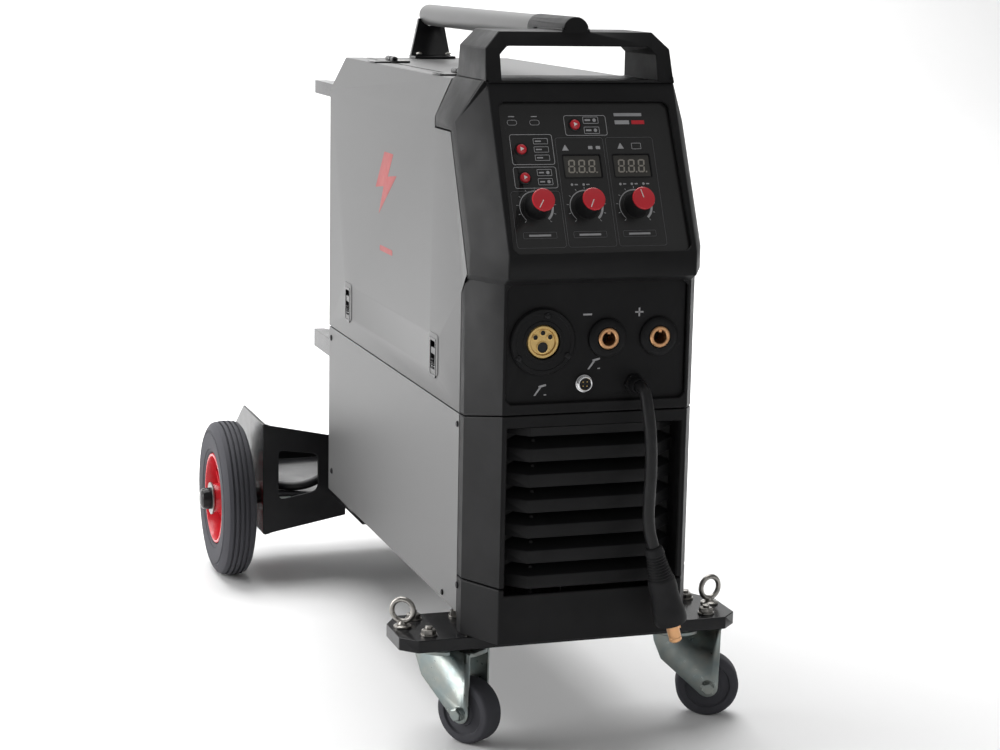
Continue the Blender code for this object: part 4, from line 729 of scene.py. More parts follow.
def top_handle():
    tube_low, tube_high = span("handle_tube")
    centre = ((tube_low.x + tube_high.x) / 2.0, (tube_low.z + tube_high.z) / 2.0)
    radius = (tube_high.z - tube_low.z) / 2.0
    start, end = tube_low.y, tube_high.y
    profile = [(radius - 2.0, start), (radius, start), (radius, end - 5.0)]
    profile += [(radius - 5.0 + 5.0 * math.cos(t), end - 5.0 + 5.0 * math.sin(t))
                for t in [math.pi / 2.0 * i / 6 for i in range(1, 7)]] + [(0.0, end)]
    profile = [(0.0, start + 3.0), (radius - 2.0, start + 3.0)] + profile
    piece("top_handle_tube", turned(profile, "Y", centre, 64), powder_coat(), stands_for=("handle_tube",))
    dressed("handle_post", gloss_paint(), 0.9)
    collar = turned([(radius - 0.3, start - 1.6), (radius + 0.6, start - 1.4), (radius + 0.8, start - 0.3),
                     (radius - 0.3, start - 0.2)], "Y", centre, 64, closed=True)
    piece("handle_collar", collar, moulded_plastic())
    low, high = span("handle_post")
    screws = bmesh.new()
    for x in (low.x + 7.0, high.x - 7.0):
        pan_screw(screws, (x, low.y + 9.0, low.z + 5.6), (0.0, 0.0, 1.0), radius=3.6, turn=x)
    piece("post_screws", screws, bare_steel())


# Control panel

def flat_mark(outline, mesh, lift=0.14):
    """A printed shape lying on the panel's film."""
    prism(outline, "Y", PANEL_D - lift, PANEL_D + 0.05, mesh)


def line_box(mesh, x0, x1, v0, v1, width=0.45, corner=1.5):
    """An outlined rectangle with round corners."""
    half_u, half_v = (x1 - x0) / 2.0, (v1 - v0) / 2.0
    centre = ((x0 + x1) / 2.0, (v0 + v1) / 2.0)
    outer = rounded(half_u, half_v, corner, centre)
    inner = rounded(half_u - width, half_v - width, max(0.2, corner - width), centre)
    band(mesh, outer, inner)


def band(mesh, outer, inner, closed=True):
    """A flat strip between two lines of equal length."""
    near, far = PANEL_D - 0.14, PANEL_D + 0.05
    rings = [[mesh.verts.new((u, d, v)) for u, v in line]
             for d, line in ((far, outer), (near, outer), (near, inner), (far, inner))]
    count = len(outer)
    faces = []
    for a, b in zip(rings, rings[1:] + rings[:1]):
        for i in range(count if closed else count - 1):
            j = (i + 1) % count
            faces.append(mesh.faces.new((a[i], a[j], b[j], b[i])))
    if not closed:
        faces.append(mesh.faces.new([ring[0] for ring in rings]))
        faces.append(mesh.faces.new([ring[-1] for ring in rings][::-1]))
    bmesh.ops.recalc_face_normals(mesh, faces=faces)


def bar(mesh, x0, x1, v0, v1):
    flat_mark([(x0, v0), (x1, v0), (x1, v1), (x0, v1)], mesh)


def digit(mesh, x, v, wide, tall, thick, depth, lit="abcdefg"):
    """A seven-segment figure that leans a little."""
    w, h, t = wide / 2.0, tall / 2.0, thick / 2.0
    lean = 0.08
    gap = 0.22
    level = [(-w + t + gap, 0.0), (-w + 2.0 * t + gap, t), (w - 2.0 * t - gap, t), (w - t - gap, 0.0),
             (w - 2.0 * t - gap, -t), (-w + 2.0 * t + gap, -t)]
    upright = [(0.0, -h / 2.0 + t / 2.0 + gap), (t, -h / 2.0 + 1.5 * t + gap), (t, h / 2.0 - 1.5 * t - gap),
               (0.0, h / 2.0 - t / 2.0 - gap), (-t, h / 2.0 - 1.5 * t - gap), (-t, -h / 2.0 + 1.5 * t + gap)]
    shapes = {
        "a": [(p, q + h - t) for p, q in level], "g": level, "d": [(p, q - h + t) for p, q in level],
        "b": [(p + w - t, q + h / 2.0) for p, q in upright], "c": [(p + w - t, q - h / 2.0) for p,
            q in upright],
        "e": [(p - w + t, q - h / 2.0) for p, q in upright], "f": [(p - w + t, q + h / 2.0) for p,
            q in upright],
    }
    for key in lit:
        outline = [(x + p + lean * q, v + q) for p, q in shapes[key]]
        prism(outline, "Y", depth - 0.12, depth + 0.05, mesh)


def displays():
    glass = display_glass()
    for name in ("left", "right"):
        node = f"{name}_display"
        low, high = span(node)
        x = (low.x + high.x) / 2.0
        face = SLOPE.inverted() @ Vector((x, middle(node).y, middle(node).z))
        v = 91.5
        half_u, half_v = (high.x - low.x) / 2.0, 11.2
        window = prism(rounded(half_u, half_v, 1.2, (x, v)), "Y", PANEL_D + 0.7,
                       PANEL_D + max(3.0, face.y - PANEL_D))
        piece(f"{name}_display_window", window, glass, stands_for=(node,), place=SLOPE.copy(), round_by=0.3)
        figures = bmesh.new()
        for i in (-1, 0, 1):
            digit(figures, x + i * 10.4 - 0.6, v, 7.0, 13.6, 1.5, PANEL_D + 0.7)
            prism(ngon(0.85, 10, (x + i * 10.4 + 4.0, v - 6.2)), "Y", PANEL_D + 0.58, PANEL_D + 0.75,
                  figures)
        piece(f"{name}_display_digits", figures, segment_light(), place=SLOPE.copy())
        rim = bmesh.new()
        line_box(rim, x - half_u - 1.3, x + half_u + 1.3, v - half_v - 1.3, v + half_v + 1.3, 1.1, 1.8)
        piece(f"{name}_display_rim", rim, gloss_paint(), place=SLOPE.copy())


def panel_print():
    """Frames, dial scales and plain marks printed on the film."""
    ink = bmesh.new()
    for x0, x1, v0, v1 in ((-21.7, 21.9, 123.0, 144.0), (-79.6, -36.2, 93.4, 124.6),
                           (-80.0, -36.2, 69.3, 91.3)):
        line_box(ink, x0, x1, v0, v1, 0.5, 2.5)
    for x in DIAL_XS.values():
        scale_outer = arc((x, DIAL_V), 17.2, 228.0, -48.0, 40)
        scale_inner = []
        for i, (u, v) in enumerate(arc((x, DIAL_V), 1.0, 228.0, -48.0, 40)):
            width = 0.3 + 2.0 * i / 40.0
            scale_inner.append((x + (u - x) * (17.2 - width), DIAL_V + (v - DIAL_V) * (17.2 - width)))
        band(ink, scale_outer, scale_inner, closed=False)
        for i in range(11):
            turn = math.radians(228.0 - 27.6 * i)
            across = Vector((-math.sin(turn), math.cos(turn))) * 0.25
            near = Vector((x, DIAL_V)) + Vector((math.cos(turn), math.sin(turn))) * 18.2
            far = Vector((x, DIAL_V)) + Vector((math.cos(turn), math.sin(turn))) * 20.2
            flat_mark([tuple(near - across), tuple(near + across), tuple(far + across), tuple(far - across)],
                      ink)
    piece("panel_lines", ink, print_ink(), place=SLOPE.copy())

    dim = bmesh.new()
    for x0, x1 in ((-33.5, 16.0), (18.5, 68.0)):
        line_box(dim, x0, x1, 9.0, 121.0, 0.35, 3.0)
    line_box(dim, -85.5, -35.5, 9.0, 66.5, 0.35, 3.0)
    for x in DIAL_XS.values():
        line_box(dim, x - 17.0, x + 17.0, 18.5, 25.0, 0.35, 1.2)
    piece("panel_frames", dim, dim_ink(), place=SLOPE.copy())

    marks = bmesh.new()
    for x in DIAL_XS.values():
        bar(marks, x - 11.0, x + 11.0, 20.7, 22.6)
    for x, v in ((-2.0, 139.0), (-2.0, 128.5)):
        line_box(marks, x, x + 16.0, v - 3.6, v + 3.6, 0.5, 0.8)
        flat_mark(ngon(1.8, 12, (x + 11.8, v)), marks)
        bar(marks, x + 2.0, x + 7.6, v - 0.9, v + 0.9)
    for x, v in ((-56.0, 117.5), (-56.0, 109.0), (-56.0, 100.5)):
        line_box(marks, x, x + 15.0, v - 3.0, v + 3.0, 0.45, 0.8)
        bar(marks, x + 2.0, x + 8.0, v - 0.6, v + 0.6)
    for x, v in ((-56.0, 85.3), (-56.0, 76.0)):
        line_box(marks, x, x + 15.0, v - 3.4, v + 3.4, 0.45, 0.8)
        flat_mark(ngon(1.7, 12, (x + 11.0, v)), marks)
        bar(marks, x + 2.0, x + 7.0, v - 0.7, v + 0.7)
    for x in (-75.0, -52.0):
        line_box(marks, x - 5.0, x + 5.0, 134.0, 139.5, 0.4, 2.4)
        bar(marks, x - 3.0, x + 3.0, 142.5, 143.4)
    for x, v in ((-24.0, 110.5), (33.5, 112.0)):
        flat_mark([(x - 3.4, v - 2.8), (x + 3.4, v - 2.8), (x, v + 3.2)], marks)
    for x, v in ((2.0, 110.5), (10.0, 110.5)):
        bar(marks, x - 2.2, x + 2.2, v - 1.6, v + 1.6)
    line_box(marks, 45.0, 55.0, 108.6, 115.0, 0.45, 0.8)
    for x in (-22.0, -10.0, 28.0, 40.0, 52.0):
        flat_mark(ngon(1.3, 12, (x, 72.6)), marks)
        bar(marks, x + 2.8, x + 6.0, 72.0, 73.2)
    piece("panel_marks", marks, print_ink(), place=SLOPE.copy())

    title = bmesh.new()
    bar(title, 31.0, 60.0, 143.0, 146.2)
    bar(title, 31.0, 46.0, 134.6, 138.6)
    piece("title_bars", title, print_ink(), place=SLOPE.copy())
    accent = bmesh.new()
    bar(accent, 48.5, 62.0, 134.6, 138.6)
    piece("title_accent", accent, red_plastic(), place=SLOPE.copy())


def face_depth(node):
    """How far out of the panel a node reaches, as a depth in the panel's own frame."""
    each = frame["nodes"][node]
    into = SLOPE.inverted()
    return min((into @ (each.matrix_world @ vert.co / MM)).y for vert in each.data.vertices)


POINTER_TURNS = {"left": 238.0, "middle": 243.0, "right": 104.0}


def knobs():
    """Turning knobs with a fluted black grip, a red cap and a thin white pointer."""
    for name, x in DIAL_XS.items():
        node = f"{name}_knob"
        front = face_depth(node)
        place = on_slope(x, DIAL_V)
        shell = bmesh.new()
        flutes = 36
        steps = flutes * 4
        profile = [(0.0, front + 1.0), (10.6, front + 1.0), (11.2, front + 1.2), (11.5, front + 2.2),
                   (11.6, front + 14.0), (12.25, PANEL_D - 3.6), (12.3, PANEL_D - 1.2), (3.0, PANEL_D - 1.1),
                   (3.0, PANEL_D + 3.0), (0.0, PANEL_D + 3.0)]
        turned(profile, "Y", steps=steps, mesh=shell)
        for vert in shell.verts:
            radius = math.hypot(vert.co.x, vert.co.z)
            if 11.3 < radius < 11.8 and vert.co.y > front + 2.0:
                angle = math.atan2(vert.co.z, vert.co.x)
                shrink = 1.0 - 0.03 * (0.5 + 0.5 * math.cos(angle * flutes))
                vert.co.x *= shrink
                vert.co.z *= shrink
        piece(f"{name}_dial_grip", shell, moulded_plastic(), f"{name}_dial",
              place=place)
        cap = turned([(0.0, front + 0.25), (9.4, front + 0.15), (10.6, front + 0.05), (11.25, front + 0.5),
                      (11.35, front + 1.6), (11.0, front + 2.0), (0.0, front + 2.0)], "Y", steps=72)
        piece(f"{name}_dial_cap", cap, red_plastic(), f"{name}_dial", stands_for=(node,), place=place)
        pointer = bmesh.new()
        block((0.6, 9.2), (front + 0.02, front + 0.8), (-0.4, 0.4), pointer)
        pointer.transform(Matrix.Rotation(math.radians(-POINTER_TURNS[name]), 4, "Y"))
        piece(f"{name}_dial_pointer", pointer, white_plastic(), f"{name}_dial",
              place=place,
              round_by=0.1)
        # A near-black ring under the knob's skirt, showing 1 mm past it: painted shade round the knob's
        # foot.
        washer = turned([(3.4, PANEL_D - 0.9), (13.0, PANEL_D - 0.9), (13.3, PANEL_D - 0.1),
                         (3.4, PANEL_D - 0.1)],
                        "Y", steps=48, closed=True)
        piece(f"{name}_dial_foot_shade", washer, painted_shade_and_insert_black(), place=place)


BUTTON_SPOTS = {"mode": (-11.0, 134.0), "gas": (-69.0, 109.0), "trigger": (-69.0, 80.0)}


def buttons():
    for name, (x, v) in BUTTON_SPOTS.items():
        place = on_slope(x, v)
        proud = PANEL_D - 2.5
        cap = turned([(0.0, proud), (3.9, proud), (4.8, proud + 0.5), (5.0, proud + 1.2),
                      (5.0, PANEL_D + 4.0),
                      (0.0, PANEL_D + 4.0)], "Y", steps=40)
        piece(f"{name}_button_cap", cap, red_plastic(), f"{name}_key", stands_for=(f"{name}_button",),
              place=place)
        arrow = prism([(-1.4, -2.1), (2.2, 0.0), (-1.4, 2.1)], "Y", proud - 0.12, proud + 0.1)
        piece(f"{name}_button_arrow", arrow, white_plastic(), f"{name}_key", place=place)
        ring = turned([(5.4, PANEL_D - 0.9), (6.6, PANEL_D - 0.7), (6.9, PANEL_D + 0.05),
                       (5.4, PANEL_D + 0.05)], "Y",
                      steps=40, closed=True)
        piece(f"{name}_button_ring", ring, gloss_paint(), place=place)


def control_panel():
    dressed("control_panel", panel_film(), 0.0)
    panel_print()
    displays()
    knobs()
    buttons()


# Sockets and lead

def sockets():
    """Torch socket, two power sockets and the control socket."""
    flange_low, flange_high = span("torch_flange")
    x, z = (flange_low.x + flange_high.x) / 2.0, (flange_low.z + flange_high.z) / 2.0
    face, back = flange_low.y, flange_high.y
    outer = (flange_high.x - flange_low.x) / 2.0
    ring = turned([(17.2, back), (17.2, face + 0.4), (17.6, face), (20.4, face), (21.0, face + 0.6),
                   (outer - 5.4, face + 0.6), (outer - 4.8, face), (outer - 1.4, face), (outer, face + 1.6),
                   (outer, back)], "Y", (x, z), 72, closed=True)
    piece("torch_flange_ring", ring, moulded_plastic(), stands_for=("torch_flange",))
    screws = bmesh.new()
    for u, v in ((3.8, 25.7), (-25.0, -15.0), (25.0, -14.0)):
        pan_screw(screws, (x + u, face + 0.5, z + v), (0.0, -1.0, 0.0), radius=3.4, turn=u)
    piece("torch_flange_screws", screws, gloss_paint())

    low, high = span("torch_socket")
    nose = low.y
    radius = (high.x - low.x) / 2.0
    bores = [(5.3, 0.0, -5.5), (2.4, -7.5, 4.5), (2.4, 0.0, 8.7), (2.4, 7.5, 4.5)]
    body = bmesh.new()
    turned([(12.4, nose + 1.4), (13.2, nose + 0.2), (radius - 1.2, nose + 0.2), (radius, nose + 1.3),
            (radius, high.y), (12.4, high.y)], "Y", (x, z), 72, body, closed=True)
    piece("torch_brass_body", body, brass(), stands_for=("torch_socket",))
    seat = bmesh.new()
    turned([(0.0, nose + 2.0), (12.3, nose + 2.0), (12.3, nose + 12.0), (0.0, nose + 12.0)], "Y", (x, z), 48,
           seat)
    piece("torch_brass_seat", seat, brass())
    # Near-black discs just inside the torch socket's holes: painted shade in the holes.
    dark = bmesh.new()
    rims = bmesh.new()
    for r, u, v in bores:
        turned([(0.0, nose + 1.93), (r, nose + 1.93), (r, nose + 2.1), (0.0, nose + 2.1)], "Y",
               (x + u, z + v), 28, dark)
        turned([(r, nose + 1.2), (r + 0.9, nose + 1.3), (r + 1.1, nose + 2.05), (r, nose + 2.05)], "Y",
               (x + u, z + v), 28, rims, closed=True)
    piece("torch_bore_shade", dark, painted_shade_and_insert_black())
    piece("torch_bore_rims", rims, brass())

    for name in ("negative_socket", "positive_socket"):
        low, high = span(name)
        cx, cz = halfway(low, high, "xz")
        front = low.y
        plastic_ring = turned([(10.7, face + 2.6), (10.7, front + 2.4), (11.6, front + 1.5),
                               (14.6, front + 1.4),
                               (17.4, front + 2.2), (19.2, front + 4.0), (19.6, face + 4.4),
                               (10.7, face + 4.4)],
                              "Y", (cx, cz), 56, closed=True)
        piece(f"{name}_collar", plastic_ring, moulded_plastic())
        ring = turned([(6.7, front + 24.0), (6.7, front + 0.8), (7.4, front + 0.1), (9.4, front + 0.1),
                       (10.4, front + 1.0), (10.5, front + 6.4), (10.2, high.y), (7.6, high.y)], "Y",
                      (cx, cz), 56,
                      closed=True)
        piece(f"{name}_ring", ring, copper(), stands_for=(name,))
        # A near-black disc at the bottom of the socket's bore: painted shade deep in the hole.
        floor = turned([(0.0, front + 20.0), (6.75, front + 20.0), (6.75, front + 23.0),
                        (0.0, front + 23.0)], "Y",
                       (cx, cz), 32)
        piece(f"{name}_floor", floor, painted_shade_and_insert_black())
        key = bmesh.new()
        block((cx - 1.6, cx + 1.6), (front + 0.9, front + 19.0), (cz + 4.6, cz + 6.7), key)
        piece(f"{name}_key", key, copper(), round_by=0.3)

    low, high = span("control_socket")
    cx, cz = halfway(low, high, "xz")
    front = low.y
    shell = bmesh.new()
    thread = [(5.9, front + 6.0), (5.9, front + 0.5), (6.3, front), (7.0, front)]
    for i in range(4):
        y = front + 0.5 + i * 0.85
        thread += [(7.55, y), (7.1, y + 0.42)]
    thread += [(7.6, front + 4.2), (8.6, front + 4.4), (8.6, front + 5.6), (5.9, front + 6.0)]
    turned(thread[:-1], "Y", (cx, cz), 40, shell, closed=True)
    piece("control_socket_shell", shell, chrome(), stands_for=("control_socket",))
    face_disc = turned([(0.0, front + 2.6), (5.95, front + 2.6), (5.95, front + 6.0), (0.0, front + 6.0)],
                       "Y",
                       (cx, cz), 32)
    piece("control_socket_insert", face_disc, painted_shade_and_insert_black())
    pins = bmesh.new()
    for turn in (45.0, 135.0, 225.0, 315.0):
        u, v = 2.9 * math.cos(math.radians(turn)), 2.9 * math.sin(math.radians(turn))
        turned([(0.0, front + 0.9), (0.5, front + 1.0), (0.75, front + 1.5), (0.75, front + 3.0),
                (0.0, front + 3.0)],
               "Y", (cx + u, cz + v), 14, pins)
    piece("control_socket_pins", pins, brass())

    signs = bmesh.new()
    plane = flange_high.y + 0.35
    minus, plus = middle("negative_socket"), middle("positive_socket")
    block((minus.x - 25.0, minus.x - 16.0), (plane - 0.3, plane), (minus.z + 22.8, minus.z + 24.4), signs)
    block((plus.x - 24.5, plus.x - 16.0), (plane - 0.3, plane), (plus.z + 23.7, plus.z + 25.2), signs)
    block((plus.x - 21.0, plus.x - 19.5), (plane - 0.3, plane), (plus.z + 20.2, plus.z + 28.7), signs)
    for cx, cz in ((-1.8, 393.0), (-56.8, 369.0)):
        prism([(cx - 6.5, cz - 5.0), (cx - 4.6, cz - 5.0), (cx + 1.0, cz + 2.4), (cx - 0.4, cz + 3.6)], "Y",
              plane - 0.3, plane, signs)
        prism([(cx - 1.0, cz + 2.4), (cx + 6.4, cz + 4.4), (cx + 6.0, cz + 6.2), (cx - 1.6, cz + 4.4)], "Y",
              plane - 0.3, plane, signs)
        prism([(cx + 4.0, cz - 5.0), (cx + 6.6, cz - 5.0), (cx + 6.6, cz - 4.0), (cx + 4.0, cz - 4.0)], "Y",
              plane - 0.3, plane, signs)
    piece("socket_signs", signs, print_ink())


def smooth_route(points, spacing):
    """Even points on a smooth curve through a route's own points."""
    route = [Vector(point) for point in points]
    ends = [2 * route[0] - route[1]] + route + [2 * route[-1] - route[-2]]
    dense = []
    for a, b, c, d in zip(ends, ends[1:], ends[2:], ends[3:]):
        for i in range(16):
            t = i / 16.0
            dense.append(0.5 * (2 * b + (c - a) * t + (2 * a - 5 * b + 4 * c - d) * t * t
                                + (3 * b - a - 3 * c + d) * t ** 3))
    dense.append(route[-1])
    lengths = [0.0]
    for a, b in zip(dense, dense[1:]):
        lengths.append(lengths[-1] + (b - a).length)
    count = max(2, round(lengths[-1] / spacing))
    even = []
    index = 0
    for step in range(count + 1):
        target = lengths[-1] * step / count
        while index < len(lengths) - 2 and lengths[index + 1] < target:
            index += 1
        share = (target - lengths[index]) / (lengths[index + 1] - lengths[index])
        even.append(dense[index].lerp(dense[index + 1], share))
    return even


def cord_piece(name, points, diameter, stands_for):
    """A round cord along points, as a curve with a smooth skin."""
    curve = bpy.data.curves.new(name, "CURVE")
    curve.dimensions = "3D"
    curve.bevel_depth = diameter / 2.0 * MM
    curve.bevel_resolution = 5
    curve.use_fill_caps = True
    line = curve.splines.new("POLY")
    line.points.add(len(points) - 1)
    for knot, point in zip(line.points, points):
        knot.co = (*(point * MM), 1.0)
    line.use_smooth = True
    curve.materials.append(cable_sheath())
    made = bpy.data.objects.new(name, curve)
    bpy.context.scene.collection.objects.link(made)
    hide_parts(*stands_for)
    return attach(made, "machine")


BASE_Y = 356.5       # from the covers' front seam to the middle of the frame
LEAD_D = 12.0
LEAD_ROUTE = [
    (40.5, -84.0, 372.0), (40.5, -91.0, 372.0), (40.3, -99.5, 367.0), (40.3, -105.0, 358.0),
    (41.0, -108.8, 346.0), (42.2, -110.8, 331.0), (43.4, -111.4, 312.0), (43.8, -111.2, 292.0),
    (43.4, -110.6, 270.0), (43.2, -110.2, 250.0), (45.0, -109.8, 233.0), (49.6, -109.4, 217.0),
]


def placed(route):
    return [Vector((x, y - BASE_Y, z)) for x, y, z in route]


def polarity_lead():
    low, high = span("lead_gland")
    cx, cz = halfway(low, high, "xz")
    tip = low.y
    gland = bmesh.new()
    turned([(6.1, tip), (7.0, tip + 0.2), (8.3, tip + 3.0), (8.8, tip + 10.0), (9.4, tip + 10.6),
            (9.4, high.y),
            (6.1, high.y)], "Y", (cx, cz), 40, gland, closed=True)
    prism((ngon(10.6, 6, (cx, cz)), ngon(10.6, 6, (cx, cz))), "Y", tip + 10.8, tip + 15.6, gland)
    gland_piece = piece("lead_gland_nut", gland, moulded_plastic(), stands_for=("lead_gland",), round_by=0.3)

    points = smooth_route(placed(LEAD_ROUTE), 3.0)
    lead = cord_piece("lead_cord", points, LEAD_D, ("polarity_lead",))
    end = points[-1]
    heading = (placed(LEAD_ROUTE)[-1] - placed(LEAD_ROUTE)[-2]).normalized()
    frame_at = facing(end, heading)
    grip = [(0.0, 0.4), (7.2, 0.4), (8.8, 1.6), (9.4, 6.0)]
    ribs = sizes().grip_ribs
    for i in range(ribs):
        start = 8.0 + 26.0 * i / ribs
        base = 9.6 + 3.4 * (i / ribs) ** 1.5
        width = 26.0 / ribs
        grip += [(base, start), (base - 0.9, start + width * 0.25), (base - 0.9, start + width * 0.55),
                 (base + 0.1, start + width * 0.8)]
    grip += [(13.6, 35.0), (14.4, 44.0), (14.0, 50.0), (14.6, 58.0), (16.1, 70.0), (16.4, 78.5),
             (15.6, 81.8),
             (9.0, 82.0), (9.0, 79.0), (0.0, 79.0)]
    plug = piece("lead_plug_grip", turned(grip, "Z", steps=48), soft_rubber(), stands_for=("lead_plug",),
                 place=frame_at, round_by=0.25)
    pin = bmesh.new()
    turned([(0.0, 80.0), (8.0, 80.0), (8.0, 84.0), (6.4, 84.4), (6.4, 96.0), (6.1, 96.4), (6.1, 98.0),
            (6.4, 98.4),
            (6.4, 101.4), (5.0, 103.0), (0.0, 103.0)], "Z", steps=40, mesh=pin)
    block((-1.6, 1.6), (5.6, 8.0), (86.0, 91.0), pin)
    pin_piece = piece("lead_plug_pin", pin, copper(), place=frame_at, round_by=0.15)
    return gland_piece


# Cart

def front_plate():
    dressed("front_plate", gloss_paint(), 1.0)
    high = span("front_plate")[1]
    for side in ("left", "right"):
        node = f"{side}_caster_plate"
        bolts = bmesh.new()
        cx, cy = halfway(*span(node), "xy")
        spread_u, spread_v = 23.0, 28.0
        for u in (-1, 1):
            for v in (-1, 1):
                hex_bolt(bolts, (cx + u * spread_u, cy + v * spread_v, high.z + 0.1), (0.0, 0.0, 1.0),
                         stub=3.0,
                         height=5.0, washer=8.6, turn=0.4 * u + v)
                hex_bolt(bolts, (cx + u * spread_u, cy + v * spread_v, high.z - 7.6), (0.0, 0.0, -1.0),
                         height=4.2,
                         washer=8.0, turn=u)
        piece(f"{side}_caster_bolts", bolts, bare_steel(), round_by=0.25)
        under = high.z - 4.4
        top = prism(rounded(31.0, 36.0, 6.0, (cx, cy), 5), "Z", under - 3.0, under)
        piece(f"{side}_caster_top", top, zinc_plate(), stands_for=(node,), round_by=0.6)
        race = turned([(0.0, under - 2.6), (24.0, under - 2.6), (27.0, under - 5.0), (27.4, under - 9.4),
                       (24.6, under - 11.0), (20.0, under - 11.6), (0.0, under - 11.6)], "Z", (cx, cy), 48)
        piece(f"{side}_caster_race", race, zinc_plate(), round_by=0.3)


def casters():
    for side in ("left", "right"):
        swivel = f"{side}_swivel"
        roll = JOINTS[f"{side}_front_roll"]
        dressed(f"{side}_caster_fork", zinc_plate(), 0.8, 2)
        hub = Vector(roll["pos_m"]) / MM
        axis = Vector(roll["axis"]).normalized()
        across = facing(hub, axis)
        ends = bmesh.new()
        for sign in (-1.0, 1.0):
            hex_bolt(ends, hub + axis * (sign * 18.2), axis * sign, across=12.0, height=4.4, washer=7.6,
                     stub=2.2 if sign > 0 else 0.0)
        piece(f"{side}_caster_axle_ends", ends, zinc_plate(), swivel, round_by=0.25)
        turn_joint = JOINTS[f"{side}_swivel_turn"]
        cx, cy = turn_joint["pos_m"][0] / MM, turn_joint["pos_m"][1] / MM
        top = span(f"{side}_caster_fork")[1].z
        skirt = turned([(14.0, top - 0.6), (26.0, top - 0.8), (28.6, top - 3.4), (28.8, top - 6.4),
                        (27.0, top - 7.4),
                        (14.0, top - 4.6)], "Z", (cx, cy), 48, closed=True)
        piece(f"{side}_caster_skirt", skirt, zinc_plate(), swivel, round_by=0.3)
        half = 12.5
        r = 33.0
        tread = [(10.4, half + 0.8), (13.4, half + 0.6), (14.2, half - 1.8), (22.6, half - 2.4),
                 (24.0, half - 0.4),
                 (29.4, half - 0.2), (31.4, half - 0.8), (32.6, half - 2.4), (33.0, half - 4.8), (r, 0.0)]
        ring = [(4.6, half + 0.8)] + tread + [(p, -q) for p, q in reversed(tread[:-1])] + [(4.6,
            -half - 0.8)]
        piece(f"{side}_caster_tyre", turned(ring, "Z", steps=64, closed=True), wheel_rubber(),
              f"{side}_front_wheel", stands_for=(f"{side}_caster_wheel",), place=across.copy(), sharp=40.0)
        spacer = turned([(4.7, half + 2.6), (9.4, half + 2.6), (10.2, half + 1.8), (10.2, -half - 1.8),
                         (9.4, -half - 2.6), (4.7, -half - 2.6)], "Z", steps=32, closed=True)
        piece(f"{side}_caster_hub", spacer, zinc_plate(), f"{side}_front_wheel",
              place=across.copy())


def eye_bolts():
    for side, turn in (("left", -35.0), ("right", 15.0)):
        low, high = span(f"{side}_eye_bolt")
        cx, cy = halfway(low, high, "xy")
        plate = span("front_plate")[1].z
        wire, radius = 2.7, 11.5
        z = high.z - wire - radius
        mesh = bmesh.new()
        steps, sides = 56, 18
        loop = [Vector((radius * math.cos(math.tau * i / steps), 0.0,
                        radius * math.sin(math.tau * i / steps)))
                for i in range(steps)]
        tube(loop, wire, mesh, sides, closed=True)
        mesh.transform(Matrix.Translation((cx, cy, z)) @ Matrix.Rotation(math.radians(turn), 4, "Z"))
        turned([(0.0, z - radius + 1.0), (3.2, z - radius + 0.4), (3.8, z - radius - 1.6),
                (5.0, z - radius - 3.0),
                (8.4, plate + 2.6), (9.2, plate + 2.0), (9.2, plate + 0.3), (0.0, plate + 0.3)], "Z",
               (cx, cy), 40, mesh)
        piece(f"{side}_eye", mesh, bare_steel(), stands_for=(f"{side}_eye_bolt",))
        nut = bmesh.new()
        hex_bolt(nut, (cx, cy, low.z + 9.0), (0.0, 0.0, -1.0), across=15.0, height=6.0, washer=9.4, stub=2.0)
        piece(f"{side}_eye_nut", nut, bare_steel(), round_by=0.3)


def bottle_tray():
    dressed("bottle_tray", gloss_paint(), 1.0)
    for node in ("upper_bottle_bracket", "lower_bottle_bracket"):
        dressed(node, gloss_paint(), 0.8)
    low = span("upper_bottle_bracket")[0]
    links = bmesh.new()
    x, y, z = low.x + 14.0, low.y + 78.0, low.z
    for i in range(9):
        link = [Vector((3.0 * math.cos(math.tau * k / 20), 0.0, 5.2 * math.sin(math.tau * k / 20)))
                for k in range(20)]
        ring = bmesh.new()
        tube(link, 1.15, ring, 8, closed=True)
        ring.transform(Matrix.Translation((x, y, z - 3.4 - i * 7.6))
                       @ Matrix.Rotation(math.pi / 2.0 * (i % 2) + 0.3, 4, "Z"))
        add_into(links, ring)
    piece("bottle_chain", links, zinc_plate())
    bolts = bmesh.new()
    rear = span("rear_panel")[1].y
    for node in ("upper_bottle_bracket", "lower_bottle_bracket"):
        b_low, b_high = span(node)
        for bx in (-82.0, 0.0, 82.0):
            hex_bolt(bolts, (bx, rear + 2.6, (b_low.z + b_high.z) / 2.0 - 2.0), (0.0, 1.0, 0.0), across=8.0,
                     height=3.0,
                     washer=5.1)
    piece("bracket_bolts", bolts, bare_steel(), round_by=0.2)


